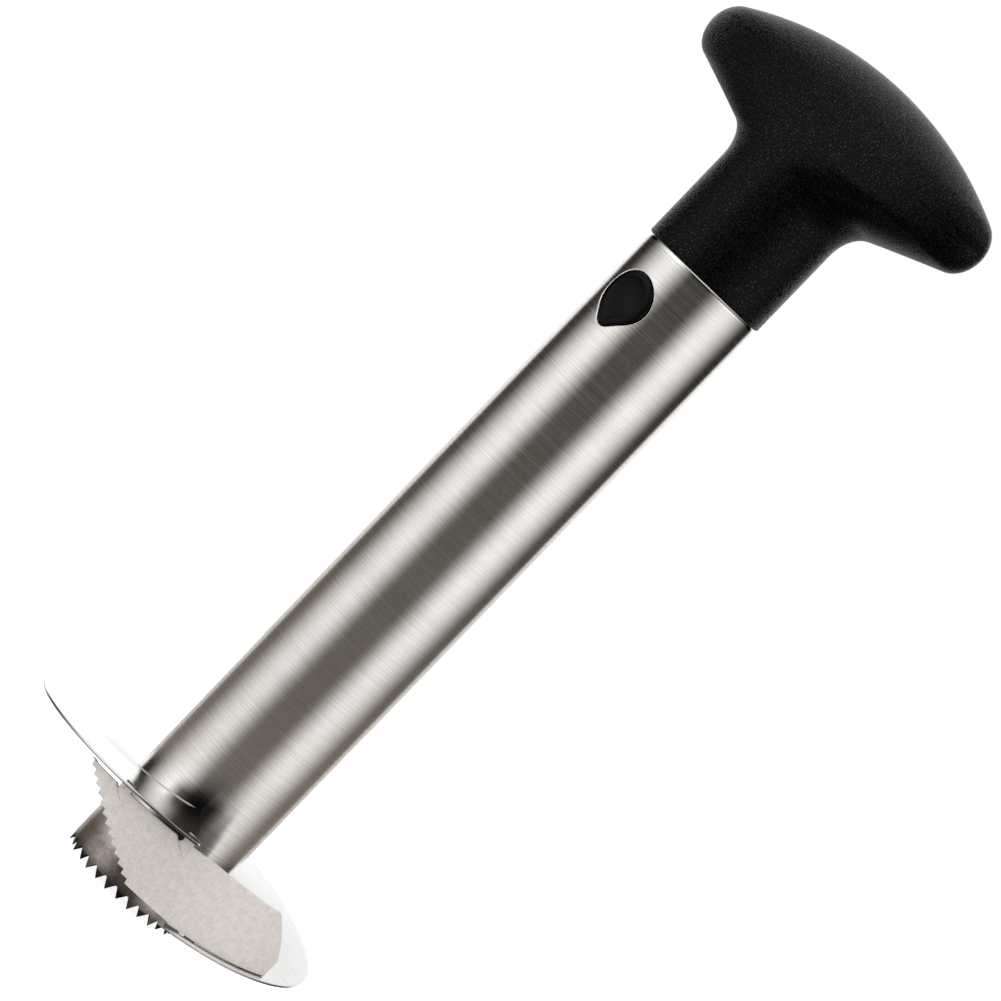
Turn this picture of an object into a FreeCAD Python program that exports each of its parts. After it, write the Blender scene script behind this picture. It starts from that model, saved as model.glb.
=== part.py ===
import FreeCAD
import Part
import math
import os

# Pineapple corer: a toothed steel tube with a helical slicing blade round its foot, a toothed
# side blade between the turns, and a black T-handle whose plug is held in the tube by two
# sprung release buttons.
#
# Millimetres. +Z runs up the tube to the handle. The origin is on the tube's axis, in the plane
# of the tooth tips that the corer stands on. The handle's bar lies along X and the release
# buttons face -Y (front) and +Y (back). Angles round the tube start at -Y and grow towards +X.

Vector = FreeCAD.Vector
ORIGIN = Vector(0, 0, 0)
UP = Vector(0, 0, 1)

# Coring tube
tube_diameter = 32.0
tube_wall = 0.8
tube_length = 187.0
lip_bevel = 0.35
tooth_count = 30
tooth_depth = 2.4
tooth_root_width = 0.5
tooth_bevel_height = 1.9
tooth_tip_thickness = 0.2

# Release buttons and the teardrop holes that they come out of
hole_round_radius = 6.7
hole_point_radius = 2.75
hole_centre_distance = 5.6
hole_below_tube_top = 7.4
button_gap = 0.35
button_guide_gap = 0.12
button_proud = 0.25
button_travel = 3.0
button_flange_width = 1.3
button_flange_thickness = 1.5
button_rim_width = 1.3
button_dish_depth = 0.55
button_pocket_radius = 3.0
button_floor_thickness = 1.6
button_roof_gap = 0.4

# Helical slicing blade
blade_diameter = 88.4
blade_thickness = 0.7
blade_foot_height = 8.9
blade_rise = 18.3
blade_wave = 0.45
blade_start_angle = 53.5
blade_sweep = 353.0
blade_weld_gap = 0.05
blade_trail_skew = 3.8
blade_edge_angle = 6.0
blade_edge_thickness = 0.2
blade_facets = 96

# Toothed side blade, bent to a cylinder round the tube's axis
side_rim_inset = 1.9
side_thickness = 0.7
side_upper_gap = 1.05
side_lower_gap = 0.15
side_crest_height = 26.3
side_foot_height = 10.0
side_lead_top_angle = 3.4
side_lead_foot_angle = 38.6
side_trail_top_angle = 82.0
side_trail_foot_angle = 96.6
side_trail_knee_height = 16.6
side_trail_bow = 0.35
side_tooth_count = 13
side_tooth_depth = 0.9
side_tooth_root_width = 0.5
side_relief_radius = 0.8
upper_tab_angles = (19.9, 43.9)
lower_tab_angles = (57.4, 64.5, 87.9)
tab_width = 2.6
tab_proud = 0.25
tab_gap = 0.1

# T-handle grip
grip_stem_diameter = 32.4
grip_height = 59.7
grip_length = 97.8
grip_width = 32.8
grip_belly_height = 44.1
grip_end_radius = 7.3
grip_crown_radius = 113.0
grip_throat_radius = 8.2
grip_underside_slope = 15.6
grip_base_bevel = 0.5
grip_facets = 44
crown_cap_turn = 0.02

# Plug housing inside the tube, its key in the grip, its screw and its end cap
plug_tube_gap = 0.2
plug_depth = 30.0
plug_wall = 2.2
plug_roof_thickness = 3.0
key_width = 13.6
key_height = 11.0
key_gap = 0.15
post_width = 8.4
post_length = 21.0
spring_stud_radius = 1.5
stud_button_gap = 2.6
screw_radius = 1.6
screw_hole_gap = 0.15
screw_pilot_gap = 0.05
screw_head_radius = 3.4
screw_head_height = 2.4
screw_bite = 14.0
screw_slot_width = 0.9
screw_slot_depth = 1.2
screw_slot_share = 0.6
screw_seat_gap = 0.02
cap_thickness = 1.6
cap_collar_height = 3.0
cap_collar_wall = 1.4
cap_gap = 0.1

# Button springs
spring_wire_radius = 0.28
spring_radius = 2.2
spring_turns = 4
spring_end_gap = 0.05
spring_sides_per_turn = 8
spring_wire_sides = 6

# Levels and radii worked out from the sizes above
tube_radius = tube_diameter / 2
bore_radius = tube_radius - tube_wall
blade_radius = blade_diameter / 2
side_outer_radius = blade_radius - side_rim_inset
side_inner_radius = side_outer_radius - side_thickness
stem_radius = grip_stem_diameter / 2
plug_radius = bore_radius - plug_tube_gap
plug_inner_radius = plug_radius - plug_wall
plug_bottom = tube_length - plug_depth
plug_ceiling = tube_length - plug_roof_thickness
post_bottom = plug_ceiling - post_length
round_level = tube_length - hole_below_tube_top - hole_round_radius
point_level = round_level - hole_centre_distance
spring_level = round_level
button_face_radius = tube_radius + button_proud
pocket_end = button_face_radius - button_dish_depth - button_floor_thickness
flange_outer = plug_inner_radius - cap_gap
flange_inner = flange_outer - button_flange_thickness
stud_length = flange_inner - button_travel - post_width / 2 - stud_button_gap
overcut = 1.0
least_slice = 0.01
trim_overrun = 4.0
layer_step_angle = 9.0


def at_angle(radius, degrees, height):
    """Point at a radius and angle round the tube's axis; 0 is -Y and 90 is +X."""
    turn = math.radians(degrees)
    return Vector(radius * math.sin(turn), -radius * math.cos(turn), height)


def cylinder(radius, bottom, top):
    """Solid cylinder on the tube's axis."""
    return Part.makeCylinder(radius, top - bottom, Vector(0, 0, bottom), UP)


def ring(inner, outer, bottom, top):
    """Plain ring on the tube's axis."""
    return cylinder(outer, bottom, top).cut(cylinder(inner, bottom - overcut, top + overcut))


def block(half_x, half_y, bottom, top):
    """Square-cornered block centred on the axis."""
    corner = Vector(-half_x, -half_y, bottom)
    return Part.makeBox(2 * half_x, 2 * half_y, top - bottom, corner)


def sector(profile, start, sweep):
    """Radius and height points, closed and turned about the axis from one angle by another."""
    points = [at_angle(radius, start, height) for radius, height in profile]
    face = Part.Face(Part.makePolygon(points + points[:1]))
    return face.revolve(ORIGIN, UP, sweep)


def cut_each(shape, cutters):
    """Shape with each cutter taken away in turn, which thin curved walls need."""
    for cutter in cutters:
        shape = shape.cut(cutter)
    return shape


def facet(corners):
    """Flat face through its corners."""
    return Part.Face(Part.makePolygon(corners + corners[:1]))


def facet_skin(sections):
    """Solid with a skin of triangles through its sections, which all have as many corners."""
    faces = [facet(sections[0]), facet(sections[-1])]
    count = len(sections[0])
    for here, there in zip(sections, sections[1:]):
        for index in range(count):
            after = (index + 1) % count
            faces.append(facet([here[index], here[after], there[after]]))
            faces.append(facet([here[index], there[after], there[index]]))
    return Part.makeSolid(Part.makeShell(faces))


def helical_layer(law, start, end, inner, outer, height):
    """Layer swept round the axis: its lower face lies at law(angle), and it rises by height."""
    edges = []
    steps = math.ceil((end - start) / layer_step_angle)
    for radius in (inner, outer):
        points = []
        for step in range(steps + 1):
            angle = start + (end - start) * step / steps
            points.append(at_angle(radius, angle, law(angle)))
        curve = Part.BSplineCurve()
        curve.interpolate(points)
        edges.append(curve.toShape())
    return Part.makeRuledSurface(edges[0], edges[1]).extrude(Vector(0, 0, height))


def teardrop(offset, depth_from, depth_to):
    """Teardrop prism along Y, round end up, with its outline moved out by offset."""
    big = hole_round_radius + offset
    small = hole_point_radius + offset
    normal_z = (small - big) / hole_centre_distance
    normal_x = math.sqrt(1 - normal_z ** 2)

    def tangent(side, radius, level):
        return Vector(side * radius * normal_x, depth_from, level + radius * normal_z)

    top = Vector(0, depth_from, round_level + big)
    bottom = Vector(0, depth_from, point_level - small)
    edges = [
        Part.Arc(tangent(1, big, round_level), top, tangent(-1, big, round_level)).toShape(),
        Part.LineSegment(tangent(-1, big, round_level), tangent(-1, small, point_level)).toShape(),
        Part.Arc(tangent(-1, small, point_level), bottom, tangent(1, small, point_level)).toShape(),
        Part.LineSegment(tangent(1, small, point_level), tangent(1, big, round_level)).toShape(),
    ]
    return Part.Face(Part.Wire(edges)).extrude(Vector(0, depth_to - depth_from, 0))


def blade_level(angle):
    """Middle of the helical blade's sheet at an angle: a steady rise with a slight wave."""
    share = (angle - blade_start_angle) / blade_sweep
    return blade_foot_height + blade_rise * share + blade_wave * math.sin(2 * math.pi * share)


def upper_turn(angle):
    """Middle of the blade's upper end, carried on past its trailing edge."""
    return blade_level(angle + 360)


def tooth_gap():
    """Cutter for one gap between two teeth, facing -Y: a V with a narrow flat root."""
    half_pitch = math.pi * tube_diameter / tooth_count / 2
    depth = -tube_radius - overcut
    corners = [(-half_pitch, -overcut), (-half_pitch, 0), (-tooth_root_width / 2, tooth_depth),
               (tooth_root_width / 2, tooth_depth), (half_pitch, 0), (half_pitch, -overcut)]
    points = [Vector(across, depth, height) for across, height in corners]
    face = Part.Face(Part.makePolygon(points + points[:1]))
    return face.extrude(Vector(0, tube_wall + 3 * overcut, 0))


def make_coring_tube():
    """Steel tube with ground saw teeth, a bevelled top lip and the two teardrop holes."""
    tube = ring(bore_radius, tube_radius, 0, tube_length)
    outer_edge = max(tube.Edges, key=lambda edge: edge.BoundBox.ZMin + edge.BoundBox.XMax)
    tube = tube.makeChamfer(lip_bevel, [outer_edge])
    pitch = 360 / tooth_count
    gap = tooth_gap()
    cutters = []
    for index in range(tooth_count):
        turned = gap.copy()
        turned.rotate(ORIGIN, UP, pitch * index)
        cutters.append(turned)
    # The teeth are ground in turn from outside and from inside, as on a saw
    sharp_radius = bore_radius + tooth_tip_thickness
    blunt_radius = tube_radius - tooth_tip_thickness
    outside = [(sharp_radius, -overcut), (sharp_radius, 0), (tube_radius, tooth_bevel_height),
               (tube_radius + overcut, tooth_bevel_height), (tube_radius + overcut, -overcut)]
    inside = [(blunt_radius, -overcut), (blunt_radius, 0), (bore_radius, tooth_bevel_height),
              (bore_radius - overcut, tooth_bevel_height), (bore_radius - overcut, -overcut)]
    for index in range(tooth_count):
        profile = outside if index % 2 else inside
        cutters.append(sector(profile, pitch * index, pitch))
    cutters.append(teardrop(0, -tube_radius - overcut, tube_radius + overcut))
    return tube.cut(cutters)


def tab(angle, bottom, top, widen, thicken):
    """Tab of the side blade, or with widen and thicken the slot that it passes through."""
    half = math.degrees((tab_width / 2 + widen) / side_outer_radius)
    inner = side_inner_radius - thicken
    outer = side_outer_radius + thicken
    profile = [(inner, bottom), (outer, bottom), (outer, top), (inner, top)]
    return sector(profile, angle - half, 2 * half)


def upper_tab(angle, widen=0, thicken=0):
    """Tab that rises from the side blade through the blade's upper end."""
    top = upper_turn(angle) + blade_thickness / 2 + tab_proud
    return tab(angle, top - blade_thickness - tab_proud - 2 * side_upper_gap, top, widen, thicken)


def lower_tab(angle, widen=0, thicken=0):
    """Tab that goes down from the side blade through the blade's lower end."""
    bottom = blade_level(angle) - blade_thickness / 2 - tab_proud
    top = max(blade_level(angle) + blade_thickness / 2 + side_lower_gap, side_foot_height)
    return tab(angle, bottom, top + tab_width / 2, widen, thicken)


def make_helical_blade():
    """One full turn of sheet round the tube, ground at its leading edge, with the tab slots."""
    end = blade_start_angle + blade_sweep
    inner = tube_radius + blade_weld_gap

    def lower_face(angle):
        return blade_level(angle) - blade_thickness / 2

    def ground_face(angle):
        share = (angle - blade_start_angle) / blade_edge_angle
        left = blade_edge_thickness + (blade_thickness - blade_edge_thickness) * share
        return lower_face(angle) + left

    sections = []
    for index in range(blade_facets + 1):
        angle = blade_start_angle + blade_sweep * index / blade_facets
        low = lower_face(angle)
        sections.append([at_angle(inner, angle, low), at_angle(blade_radius, angle, low),
                         at_angle(blade_radius, angle, low + blade_thickness),
                         at_angle(inner, angle, low + blade_thickness)])
    blade = facet_skin(sections)
    grind = helical_layer(ground_face, blade_start_angle - trim_overrun,
                          blade_start_angle + blade_edge_angle, tube_radius - overcut,
                          blade_radius + overcut, 2 * blade_thickness)
    slots = [upper_tab(angle, tab_gap, tab_gap) for angle in upper_tab_angles]
    slots += [lower_tab(angle, tab_gap, tab_gap) for angle in lower_tab_angles]
    # The trailing edge is cut a little askew: its inner end lies further back than its rim end
    level = blade_level(end) + 2 * blade_thickness
    corners = [at_angle(tube_radius - overcut, end - blade_trail_skew, level),
               at_angle(blade_radius, end, level),
               at_angle(blade_radius + overcut, end + blade_trail_skew, level),
               at_angle(tube_radius - overcut, end + blade_trail_skew, level)]
    off_cut = Part.Face(Part.makePolygon(corners + corners[:1]))
    off_cut = off_cut.extrude(Vector(0, 0, -4 * blade_thickness))
    return cut_each(blade, [grind, off_cut] + slots)


def make_side_blade():
    """Bent strip between the turns, with a raked toothed front edge, a bowed end and tabs."""
    inner = side_inner_radius
    outer = side_outer_radius
    margin = 2 * overcut
    tall = 2 * blade_rise
    top_drop = blade_thickness / 2 + side_upper_gap
    foot_lift = blade_thickness / 2 + side_lower_gap

    def top_edge(angle):
        return upper_turn(angle) - top_drop

    def foot_edge(angle):
        return blade_level(angle) + foot_lift

    lead_top = top_edge(side_lead_top_angle)
    lead_span = side_lead_foot_angle - side_lead_top_angle
    trail_span = side_trail_foot_angle - side_trail_top_angle

    def lead_edge(angle):
        share = (angle - side_lead_top_angle) / lead_span
        return lead_top + (side_foot_height - lead_top) * share

    def trail_edge(angle):
        share = (angle - side_trail_top_angle) / trail_span
        bow = side_trail_bow * math.sin(math.pi * min(max(share, 0), 1))
        return side_crest_height + (side_trail_knee_height - side_crest_height) * share + bow

    def trimmer(law, start, end, drop):
        return helical_layer(lambda angle: law(angle) - drop, start, end, inner - margin,
                             outer + margin, tall)

    strip = sector([(inner, side_foot_height), (outer, side_foot_height),
                    (outer, side_crest_height), (inner, side_crest_height)],
                   side_lead_top_angle, side_trail_foot_angle - side_lead_top_angle)
    before = side_lead_top_angle - trim_overrun
    after = side_trail_foot_angle + trim_overrun
    strip = cut_each(strip, [
        trimmer(top_edge, before, after, 0),
        trimmer(foot_edge, before, after, tall),
        trimmer(lead_edge, before, side_lead_foot_angle + trim_overrun, tall),
        trimmer(trail_edge, side_trail_top_angle - trim_overrun, after, 0),
    ])
    # The teeth are filed across the raked edge: one V-notch for each gap
    run = math.radians(lead_span) * outer
    drop = lead_top - side_foot_height
    length = math.hypot(run, drop)
    rake = math.degrees(math.atan2(drop, run))
    pitch = length / side_tooth_count
    notches = []
    for index in range(side_tooth_count):
        share = (index + 0.5) / side_tooth_count
        angle = side_lead_top_angle + lead_span * share
        points = [
            Vector(-pitch / 2, 0, -overcut),
            Vector(-pitch / 2, 0, 0),
            Vector(-side_tooth_root_width / 2, 0, side_tooth_depth),
            Vector(side_tooth_root_width / 2, 0, side_tooth_depth),
            Vector(pitch / 2, 0, 0),
            Vector(pitch / 2, 0, -overcut),
        ]
        face = Part.Face(Part.makePolygon(points + points[:1]))
        notch = face.extrude(Vector(0, side_thickness + 2 * overcut, 0))
        notch.rotate(ORIGIN, Vector(0, 1, 0), rake)
        notch.translate(Vector(0, -outer - overcut, lead_edge(angle)))
        notch.rotate(ORIGIN, UP, angle)
        notches.append(notch)
    strip = cut_each(strip, notches)
    # Each upper tab has a half-round relief beside it
    reliefs = []
    for angle in upper_tab_angles:
        shift = math.degrees((tab_width / 2 + side_relief_radius) / outer)
        centre = at_angle(outer + overcut, angle - shift, top_edge(angle - shift))
        inward = at_angle(-1, angle - shift, 0)
        reliefs.append(Part.makeCylinder(side_relief_radius, side_thickness + 2 * overcut,
                                         centre, inward))
    strip = cut_each(strip, reliefs)
    tabs = [upper_tab(angle) for angle in upper_tab_angles]
    tabs += [lower_tab(angle) for angle in lower_tab_angles]
    return strip.fuse(tabs)


def oval(half_length, half_width, height):
    """Corners of an ellipse in a level plane, long side along X."""
    corners = []
    for index in range(grip_facets):
        turn = 2 * math.pi * index / grip_facets
        corners.append(Vector(half_length * math.cos(turn), half_width * math.sin(turn), height))
    return corners


def grip_slices():
    """Level slices of the bar: the half-length follows the front outline of the T-handle.

    The outline leaves the stem in a hollow throat, rises along the straight underside, turns
    round the bar's end and closes over the crown. All of its stretches meet in tangents.
    """
    slope = math.radians(grip_underside_slope)
    end_x = grip_length / 2 - grip_end_radius
    crown_z = grip_height - grip_crown_radius
    end_z = crown_z + math.sqrt((grip_crown_radius - grip_end_radius) ** 2 - end_x ** 2)
    low_x = end_x + grip_end_radius * math.sin(slope)
    low_z = end_z - grip_end_radius * math.cos(slope)
    meet_z = low_z - (low_x - stem_radius) * math.tan(slope)
    throat_x = stem_radius + grip_throat_radius
    throat_z = meet_z - grip_throat_radius * math.tan((math.pi / 2 - slope) / 2)
    end_turn = math.atan2(end_z - crown_z, end_x)
    arcs = [
        (throat_x, throat_z, grip_throat_radius, math.pi, math.pi / 2 + slope, 6),
        (end_x, end_z, grip_end_radius, slope - math.pi / 2, end_turn, 7),
        (0, crown_z, grip_crown_radius, end_turn, math.pi / 2 - crown_cap_turn, 7),
    ]
    foot_radius = stem_radius - grip_base_bevel
    slices = [(foot_radius, foot_radius, 0), (stem_radius, stem_radius, grip_base_bevel)]
    for centre_x, centre_z, radius, start, end, steps in arcs:
        for step in range(steps):
            turn = start + (end - start) * step / (steps - 1)
            half_length = centre_x + radius * math.cos(turn)
            height = centre_z + radius * math.sin(turn)
            if height - slices[-1][2] < least_slice:
                continue
            slices.append((half_length, grip_half_width(height, throat_z), height))
    return slices


def grip_half_width(height, throat_z):
    """Half the bar's width: it swells from the stem to the belly and closes in a round crown."""
    if height <= grip_belly_height:
        share = (height - throat_z) / (grip_belly_height - throat_z)
        return stem_radius + (grip_width / 2 - stem_radius) * math.sin(math.pi / 2 * share)
    rise = (height - grip_belly_height) / (grip_height - grip_belly_height)
    return grip_width / 2 * math.sqrt(1 - rise ** 2)


def make_grip():
    """Moulded T-handle: round stem, flared bar, and the square socket and pilot hole below."""
    grip = facet_skin([oval(half_length, half_width, tube_length + height)
                       for half_length, half_width, height in grip_slices()])
    key_half = key_width / 2 + key_gap
    socket = block(key_half, key_half, tube_length - overcut, tube_length + key_height + key_gap)
    pilot = cylinder(screw_radius + screw_pilot_gap, tube_length,
                     tube_length + key_height + screw_bite + overcut)
    return cut_each(grip, [socket, pilot])


def make_plug_housing():
    """Moulded plug: a cup open below, with a screw post, spring studs and a square key on top."""
    wall = ring(plug_inner_radius, plug_radius, plug_bottom, tube_length)
    roof = cylinder(plug_radius, plug_ceiling, tube_length)
    key = block(key_width / 2, key_width / 2, tube_length, tube_length + key_height)
    post = block(post_width / 2, post_width / 2, post_bottom, plug_ceiling)
    studs = Part.makeCylinder(spring_stud_radius, post_width + 2 * stud_length,
                              Vector(0, -post_width / 2 - stud_length, spring_level),
                              Vector(0, 1, 0))
    housing = wall.fuse([roof, key, post, studs])
    window = teardrop(button_guide_gap - button_gap, -plug_radius - overcut, 0)
    window = window.cut(cylinder(plug_inner_radius - overcut, 0, tube_length))
    back_window = window.mirror(ORIGIN, Vector(0, 1, 0))
    screw_hole = cylinder(screw_radius + screw_hole_gap, post_bottom - overcut,
                          tube_length + key_height + overcut)
    return housing.cut([window, back_window, screw_hole]).removeSplitter()


def make_button():
    """Front button: a dished teardrop face, with a curved flange inside and a spring pocket."""
    face_cut = cylinder(button_face_radius, plug_bottom, tube_length)
    inside = cylinder(flange_inner, plug_bottom, tube_length)
    stalk = teardrop(-button_gap, -button_face_radius, 0).common(face_cut).cut(inside)
    flange = teardrop(button_flange_width, -flange_outer, 0)
    flange = flange.common(ring(flange_inner, flange_outer, plug_bottom,
                                plug_ceiling - button_roof_gap))
    button = stalk.fuse(flange)
    # The thumb dish leaves a raised rim round the teardrop
    dish = teardrop(-button_gap - button_rim_width, -button_face_radius - overcut, 0)
    dish = dish.cut(cylinder(button_face_radius - button_dish_depth, plug_bottom, tube_length))
    pocket = Part.makeCylinder(button_pocket_radius, pocket_end,
                               Vector(0, -pocket_end, spring_level), Vector(0, 1, 0))
    return button.cut([dish, pocket]).removeSplitter()


def make_spring():
    """Front coil spring between the post and the bottom of the button's pocket."""
    start = -pocket_end + spring_end_gap + spring_wire_radius
    end = -post_width / 2 - spring_end_gap - spring_wire_radius
    count = spring_turns * spring_sides_per_turn
    points = []
    for index in range(count + 1):
        turn = 2 * math.pi * index / spring_sides_per_turn
        points.append(Vector(spring_radius * math.cos(turn), start + (end - start) * index / count,
                             spring_level + spring_radius * math.sin(turn)))
    path = Part.makePolygon(points)
    along = points[1] - points[0]
    across = along.cross(Vector(0, 1, 0)).normalize()
    other = along.cross(across).normalize()
    ring_points = []
    for index in range(spring_wire_sides):
        turn = 2 * math.pi * (index + 0.5) / spring_wire_sides
        ring_points.append(points[0] + across * (spring_wire_radius * math.cos(turn))
                           + other * (spring_wire_radius * math.sin(turn)))
    section = Part.makePolygon(ring_points + ring_points[:1])
    return path.makePipeShell([section], True, False, 1)


def make_screw():
    """Pan-head screw that draws the plug up into the grip."""
    head_top = post_bottom - screw_seat_gap
    shank = cylinder(screw_radius, head_top, tube_length + key_height + screw_bite)
    head = cylinder(screw_head_radius, head_top - screw_head_height, head_top)
    head_bottom = head_top - screw_head_height
    slot_half = screw_head_radius * screw_slot_share
    slot_bottom = head_bottom - overcut
    slot_top = head_bottom + screw_slot_depth
    slots = [block(slot_half, screw_slot_width / 2, slot_bottom, slot_top),
             block(screw_slot_width / 2, slot_half, slot_bottom, slot_top)]
    return head.fuse(shank).cut(slots).removeSplitter()


def make_end_cap():
    """Cap that closes the plug from below, with a collar inside its wall."""
    disc = cylinder(plug_radius, plug_bottom - cap_thickness, plug_bottom)
    collar_outer = plug_inner_radius - cap_gap
    collar = ring(collar_outer - cap_collar_wall, collar_outer, plug_bottom,
                  plug_bottom + cap_collar_height)
    return disc.fuse(collar).removeSplitter()


def turned_half(shape):
    """The same piece on the back, half a turn round the tube's axis."""
    copy = shape.copy()
    copy.rotate(ORIGIN, UP, 180)
    return copy


front_button = make_button()
front_spring = make_spring()
pieces = {
    "coring_tube": make_coring_tube(),
    "helical_blade": make_helical_blade(),
    "side_blade": make_side_blade(),
    "grip": make_grip(),
    "plug_housing": make_plug_housing(),
    "end_cap": make_end_cap(),
    "housing_screw": make_screw(),
    "front_button": front_button,
    "back_button": turned_half(front_button),
    "front_spring": front_spring,
    "back_spring": turned_half(front_spring),
}

os.makedirs("parts", exist_ok=True)
for name, shape in pieces.items():
    solids = shape.Solids
    print(name, "solids", len(solids), "valid", shape.isValid(), "volume", round(shape.Volume, 1))
    shape.exportStep("parts/" + name + ".step")
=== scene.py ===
"""Pineapple corer: its finished surfaces, materials, stage and camera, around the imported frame."""
import math

import bpy
import numpy as np
from bpy.props import FloatProperty, FloatVectorProperty, IntProperty, PointerProperty
from bpy.types import Operator, Panel, PropertyGroup
from mathutils import Euler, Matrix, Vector


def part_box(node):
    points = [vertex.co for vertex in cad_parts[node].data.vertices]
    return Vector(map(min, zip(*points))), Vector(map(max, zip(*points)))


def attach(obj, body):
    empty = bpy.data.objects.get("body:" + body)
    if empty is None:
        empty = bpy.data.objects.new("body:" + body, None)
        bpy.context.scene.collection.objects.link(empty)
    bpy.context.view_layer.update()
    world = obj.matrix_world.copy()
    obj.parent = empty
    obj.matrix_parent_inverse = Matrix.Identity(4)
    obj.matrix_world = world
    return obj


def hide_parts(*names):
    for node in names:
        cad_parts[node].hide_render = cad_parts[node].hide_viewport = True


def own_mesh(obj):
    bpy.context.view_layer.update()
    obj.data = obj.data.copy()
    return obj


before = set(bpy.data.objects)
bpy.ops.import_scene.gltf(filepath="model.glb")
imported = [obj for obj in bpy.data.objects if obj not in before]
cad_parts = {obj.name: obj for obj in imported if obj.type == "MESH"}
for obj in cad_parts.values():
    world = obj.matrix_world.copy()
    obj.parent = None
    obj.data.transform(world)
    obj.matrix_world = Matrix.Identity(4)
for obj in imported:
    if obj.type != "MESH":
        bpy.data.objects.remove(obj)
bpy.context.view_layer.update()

bl_info = {
    "name": "Pineapple Corer",
    "version": (1, 0, 0),
    "blender": (4, 5, 0),
    "location": "3D View > Sidebar > Corer",
    "description": "Builds a steel pineapple corer with a helical blade and a T-handle",
    "category": "Object",
}

TUBE_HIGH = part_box("coring_tube")[1]
BLADE_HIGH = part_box("helical_blade")[1]
GRIP_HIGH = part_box("grip")[1]

FULL_TURN = 2 * math.pi
LEVEL = (1.0, 1.0, 0.0)
WHITE = (1.0, 1.0, 1.0)

# Numbers of points, rows, columns and rings of the surfaces
COLUMNS_PER_TOOTH = 20
TOOTH_ROWS = 10
PLAIN_ROWS = 12
PATCH_HALF_COLUMNS = 66
PATCH_HALF_ROWS = 22
HOLE_HALF_COLUMNS = PATCH_HALF_COLUMNS // 2
HOLE_HALF_ROWS = PATCH_HALF_ROWS // 2
QUARTER_POINTS = 7
RIM_POINTS = 6
BLADE_RINGS = 22
BLADE_COLUMNS = 300
GROUND_COLUMNS = 9
WELD_SECTIONS = 1600
SIDE_TOOTH_ROWS = 8
SIDE_COLUMNS = 90
ROUND_COLUMNS = 192
DISH_RINGS = 26
COIL_SECTIONS = 36
WIRE_COLUMNS = 12
FLOOR_RINGS = 9
FLOOR_COLUMNS = 96

# Shares, angles and lengths of the forms, which no setting changes
SQUARE_CENTRE = 1e-6
TOOTHED_SHARE = 1.6
RIM_FULLNESS = 0.96
SHEAR_ANGLE = math.radians(24)
WELD_SHARE = 0.975
WELD_RIPPLES = ((0.10, 260), (0.08, 37))
WELD_HOLLOW = 0.275
LEAD_SHARE = 0.08
NOTCH_FADE = 0.06
RELIEF_FADE = 0.7
KNEE_TEETH = 4
NOTCH_FLANK = 0.375
DISH_POWER = 4
PATCH_HALF_HEIGHT = 0.012
TAB_INSET = 0.00002

# Node layout, lamps and camera
NODE_SPACING = 180
STAGE_MIDDLE = Vector((0, 0, 0.12))
SENSOR_WIDTH = 36
NEAR_CLIP = 0.05
FAR_CLIP = 20


def length(name, description, default):
    """Length property in metres."""
    return FloatProperty(name=name, description=description, default=default, min=0,
                         unit="LENGTH", precision=5)


def angle(name, description, degrees):
    """Angle property, given in degrees."""
    return FloatProperty(name=name, description=description, default=math.radians(degrees),
                         unit="ROTATION", precision=4)


def colour(name, description, default):
    """Linear colour property."""
    return FloatVectorProperty(name=name, description=description, default=default, size=3,
                               min=0, max=1, subtype="COLOR")


class CorerTubeSettings(PropertyGroup):
    """Sizes of the coring tube and its two holes."""
    radius: length("Radius", "Outside radius of the tube", TUBE_HIGH.x)
    wall: length("Wall", "Thickness of the tube's wall", 0.0008)
    top: length("Length", "Height of the tube's top lip above the tooth tips", TUBE_HIGH.z)
    lip: length("Lip", "Depth of the polished top edge", 0.00035)
    lip_height: length("Lip Height", "Height of the polished top edge", 0.0008)
    tooth_count: IntProperty(name="Teeth", description="Saw teeth round the foot", default=30)
    tooth_depth: length("Tooth Depth", "Height of the teeth", 0.0024)
    tooth_root: length("Tooth Root", "Width of the flat between two teeth", 0.0005)
    root_round: FloatProperty(name="Root Rounding", default=0.14, min=0.01, max=0.15,
                              description="Share of a flank that the root's rounding takes")
    bevel_height: length("Bevel Height", "Height of the ground bevels on the teeth", 0.0019)
    tip_thickness: length("Tip Thickness", "Wall left at the tooth tips", 0.0002)
    round_radius: length("Hole Round Radius", "Radius of the hole's round end", 0.0067)
    point_radius: length("Hole Point Radius", "Radius of the hole's narrow end", 0.00275)
    hole_distance: length("Hole Length", "Distance between the hole's two centres", 0.0056)
    hole_below_top: length("Hole Place", "Distance of the hole below the lip", 0.0074)
    hole_bevel: length("Hole Bevel", "Width of the bevel round each hole", 0.00018)


class CorerBladeSettings(PropertyGroup):
    """Sizes of the helical blade."""
    radius: length("Radius", "Outside radius of the blade", BLADE_HIGH.x)
    thickness: length("Thickness", "Thickness of the sheet", 0.0007)
    foot: length("Foot Height", "Height of the cutting edge", 0.0089)
    rise: length("Rise", "Rise of the blade in one turn", 0.0183)
    wave: length("Wave", "Departure from a steady rise", 0.00045)
    start: angle("Start", "Angle of the cutting edge", 53.5)
    sweep: angle("Sweep", "Angle that the blade covers", 353.0)
    trail_skew: angle("Trailing Skew", "Angle by which the inner end lies further back", 3.8)
    ground_angle: angle("Ground Angle", "Width of the ground cutting edge", 6.0)
    ground_thickness: length("Edge Thickness", "Thickness of the cutting edge", 0.0002)
    seat_gap: length("Seat Gap", "Gap between the tube and the blade", 0.00005)
    weld_radius: length("Weld Radius", "Size of the weld bead at the tube", 0.0002)


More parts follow.
